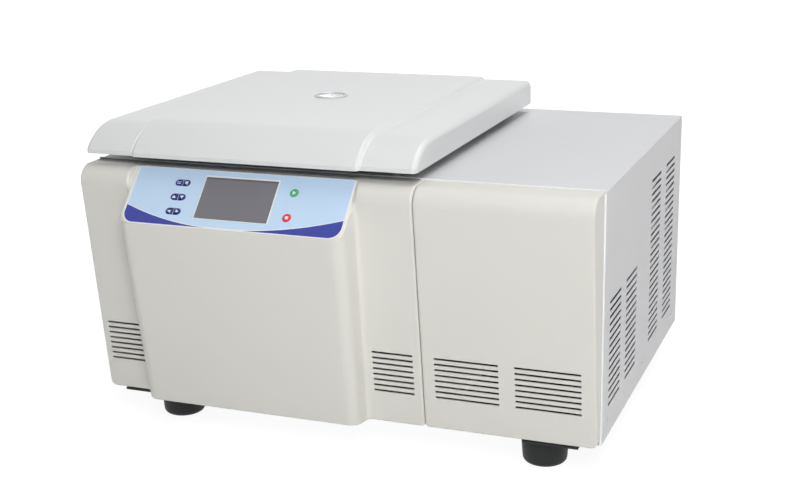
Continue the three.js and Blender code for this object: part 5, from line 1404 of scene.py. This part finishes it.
# %% [markdown]
# ## Buckets
# Four buckets hang in the yoke: a drawn cup, and on either side a boss that is open below, so that
# a bucket lifts off its pins. The boss could be cut by Booleans from a block; its outside and its
# pin's room are two arcs, and sheets between them close it.
# %% Cup and bosses
BUCKET, BUCKET_WALL, BUCKET_FLOOR = 31.0, 2.5, 4.0
CUP_ROUND, CUP_TOP, CUP_BOTTOM, CUP_SIDES = 10.0, 26.0, -82.0, 72
BOSS, PIN_ROOM, BOSS_NEAR, BOSS_FAR = 10.0, 5.45, 30.4, 35.2
rim_round = BUCKET_WALL / 2
inside_up = BUCKET_FLOOR - BUCKET_WALL
cup_round = np.array([BUCKET - CUP_ROUND, CUP_BOTTOM + CUP_ROUND])
cup_profile = [
    (0.0, CUP_BOTTOM), *arc(cup_round, CUP_ROUND, -90, 0, 9),
    *arc((BUCKET - rim_round, CUP_TOP - rim_round), rim_round, 0, 180, 9),
    *arc(cup_round + [0.0, inside_up], CUP_ROUND - BUCKET_WALL, 0, -90, 9),
    (0.0, CUP_BOTTOM + BUCKET_FLOOR),
]
foot_angle = math.degrees(math.asin(PIN_ROOM / BOSS))
outer_line = np.array(arc((0.0, 0.0), BOSS, -90 + foot_angle, 270 - foot_angle, 33))
leg = [(PIN_ROOM, z) for z in np.linspace(outer_line[0][1], 0.0, 5)[:-1]]
inner_line = np.array([*leg, *arc((0.0, 0.0), PIN_ROOM, 0, 180, 25),
                       *[(-u, z) for u, z in leg[::-1]]])


def boss_sheets(near, far):
    """Both faces, the outside, the pin's room and the two feet of a boss."""
    loop = [(outer_line, near), (outer_line, far), (inner_line, far), (inner_line, near),
            (outer_line, near)]
    grid = np.stack([
        np.stack([line[:, 0], 0 * line[:, 0] + reach, line[:, 1]], -1) for line, reach in loop
    ])
    return [grid, *[np.stack([grid[[0, 3], end], grid[[1, 2], end]], 1) for end in (0, -1)]]


cup = turned(cup_profile, (0.0, 0.0, 0.0), sides=CUP_SIDES)
bosses = {"a": boss_sheets(BOSS_NEAR, BOSS_FAR), "b": boss_sheets(-BOSS_FAR, -BOSS_NEAR)}
for number in range(1, 5):
    node = f"bucket_{number}"
    low, high = corners(node)
    pivot = np.array([(low[0] + high[0]) / 2, (low[1] + high[1]) / 2, high[2] - CUP_TOP])
    c, s = math.cos((number - 1) * math.pi / 2), math.sin((number - 1) * math.pi / 2)
    spin = np.array([[c, s, 0], [-s, c, 0], [0, 0, 1]])
    make(f"cup_{number}", [cup @ spin + pivot], [node])
    for side, sheets in bosses.items():
        make(f"boss_{number}{side}", [sheet @ spin + pivot for sheet in sheets], like=node)

# %% [markdown]
# ## Rotor nut
# The nut that holds the rotor is turned by hand, so it is a knob with finger flutes. They could be
# cut one after another; a turned knob whose radius shrinks by a wave round it has them all.
# %% A knob with flutes
FLUTES, FLUTE_DEEP, FLUTE_SHAPE, FLUTE_FROM, FLUTE_FADE = 12, 0.045, 0.7, 3.5, 3.0
BORE, BORE_DEEP, NUT_FOOT, FOOT_BEVEL, GRIP, CAP_IN, CAP_LOW = 5.4, 13.4, 1.0, 0.2, 4.0, 9.0, 0.8
NUT_ROUND, NUT_SIDES, CAP_EDGE = 3.0, 144, 9.6
nut, nut_z, nut_top = radius_and_heights("rotor_nut")
nut_profile = [
    (0.0, nut_z + BORE_DEEP), (BORE, nut_z + BORE_DEEP), (BORE, nut_z), (nut - NUT_FOOT, nut_z),
    (nut - FOOT_BEVEL, nut_z + NUT_FOOT), (nut, nut_z + GRIP), (nut, nut_top - GRIP),
    *arc((nut - NUT_ROUND, nut_top - NUT_ROUND), NUT_ROUND, 0, 90, 7),
    (nut - CAP_IN, nut_top), (nut - CAP_EDGE, nut_top - CAP_LOW), (0.0, nut_top - CAP_LOW),
]
knob = turned(nut_profile, chamber, sides=NUT_SIDES)
round_knob = np.linspace(0, 2 * np.pi, NUT_SIDES + 1)[None, :, None]
outside = np.array(nut_profile)[:, 0] - nut + FLUTE_FROM
beyond = np.clip(outside / FLUTE_FADE, 0, 1)[:, None, None]
flute = np.maximum(np.cos(FLUTES * round_knob), 0) ** FLUTE_SHAPE
knob[..., :2] += (knob[..., :2] - chamber[:2]) * (-FLUTE_DEEP * beyond * flute)
make("rotor_knob", [knob], ["rotor_nut"])

# %% [markdown]
# ## Plain pieces with their edges rounded
# Pressed, cast and bent pieces whose packed shape is right keep it. They could be drawn again, but
# all they lack is a real edge, which is never perfectly sharp. So a copy of each gets a small
# round, wider on a casting than on a sheet.
# %% Ease the edges of the other pieces
EASED = {
    "top_deck": 0.3, "rear_panel": 0.3, "base_pan": 0.3, "bay_partition": 0.3, "lid_liner": 0.5,
    "rotor_yoke": 0.9, "drive_motor": 0.8, "spindle": 0.4, "hinge_bracket_left": 0.4,
    "hinge_bracket_right": 0.4, "hinge_arm_left": 0.5, "hinge_arm_right": 0.5, "lid_striker": 0.4,
    "latch_housing": 0.6, "latch_bolt": 0.4, "power_inlet": 0.5, "power_rocker": 0.5,
    "compressor": 1.2, "fan_shroud": 0.8, "fan_rotor": 0.5, "fan_motor": 0.6, "control_board": 0.2,
    "guard_ring": 0.4,
}
for node, edge in EASED.items():
    eased(node, edge)

# %% [markdown]
# ## Evaporator coil
# The evaporator is one copper tube wound round the bowl. A curve with a round bevel could make it;
# a circle carried along a helix does it as one closed sheet: the angle grows evenly, and the
# height with it, and at both ends the circle shrinks to its middle.
# %% Evaporator coil
TUBE, TURNS, PER_TURN, ROUND_TUBE = 4.8, 4, 60, 17
coil_low, coil_high = corners("evaporator_coil")
coil_radius = (coil_high[1] - coil_low[1]) / 2 - TUBE
wind = np.linspace(0, 2 * np.pi * TURNS, TURNS * PER_TURN + 1)[None, :]
bottom, top = coil_low[2] + TUBE, coil_high[2] - TUBE
angle = np.linspace(0, 2 * np.pi, ROUND_TUBE)[:, None]
reach = coil_radius + TUBE * np.cos(angle)
rise = bottom + (top - bottom) * wind / wind[0, -1]
ring = np.stack([reach * np.cos(wind), reach * np.sin(wind), rise + TUBE * np.sin(angle)], -1)
line = np.stack([coil_radius * np.cos(wind), coil_radius * np.sin(wind), rise], -1)
ends = [line[:, [end]] + 0 * ring[:, :1] for end in (0, -1)]
make("copper_coil", [np.concatenate([ends[0], ring, ends[1]], 1) + np.array(chamber)],
     ["evaporator_coil"])
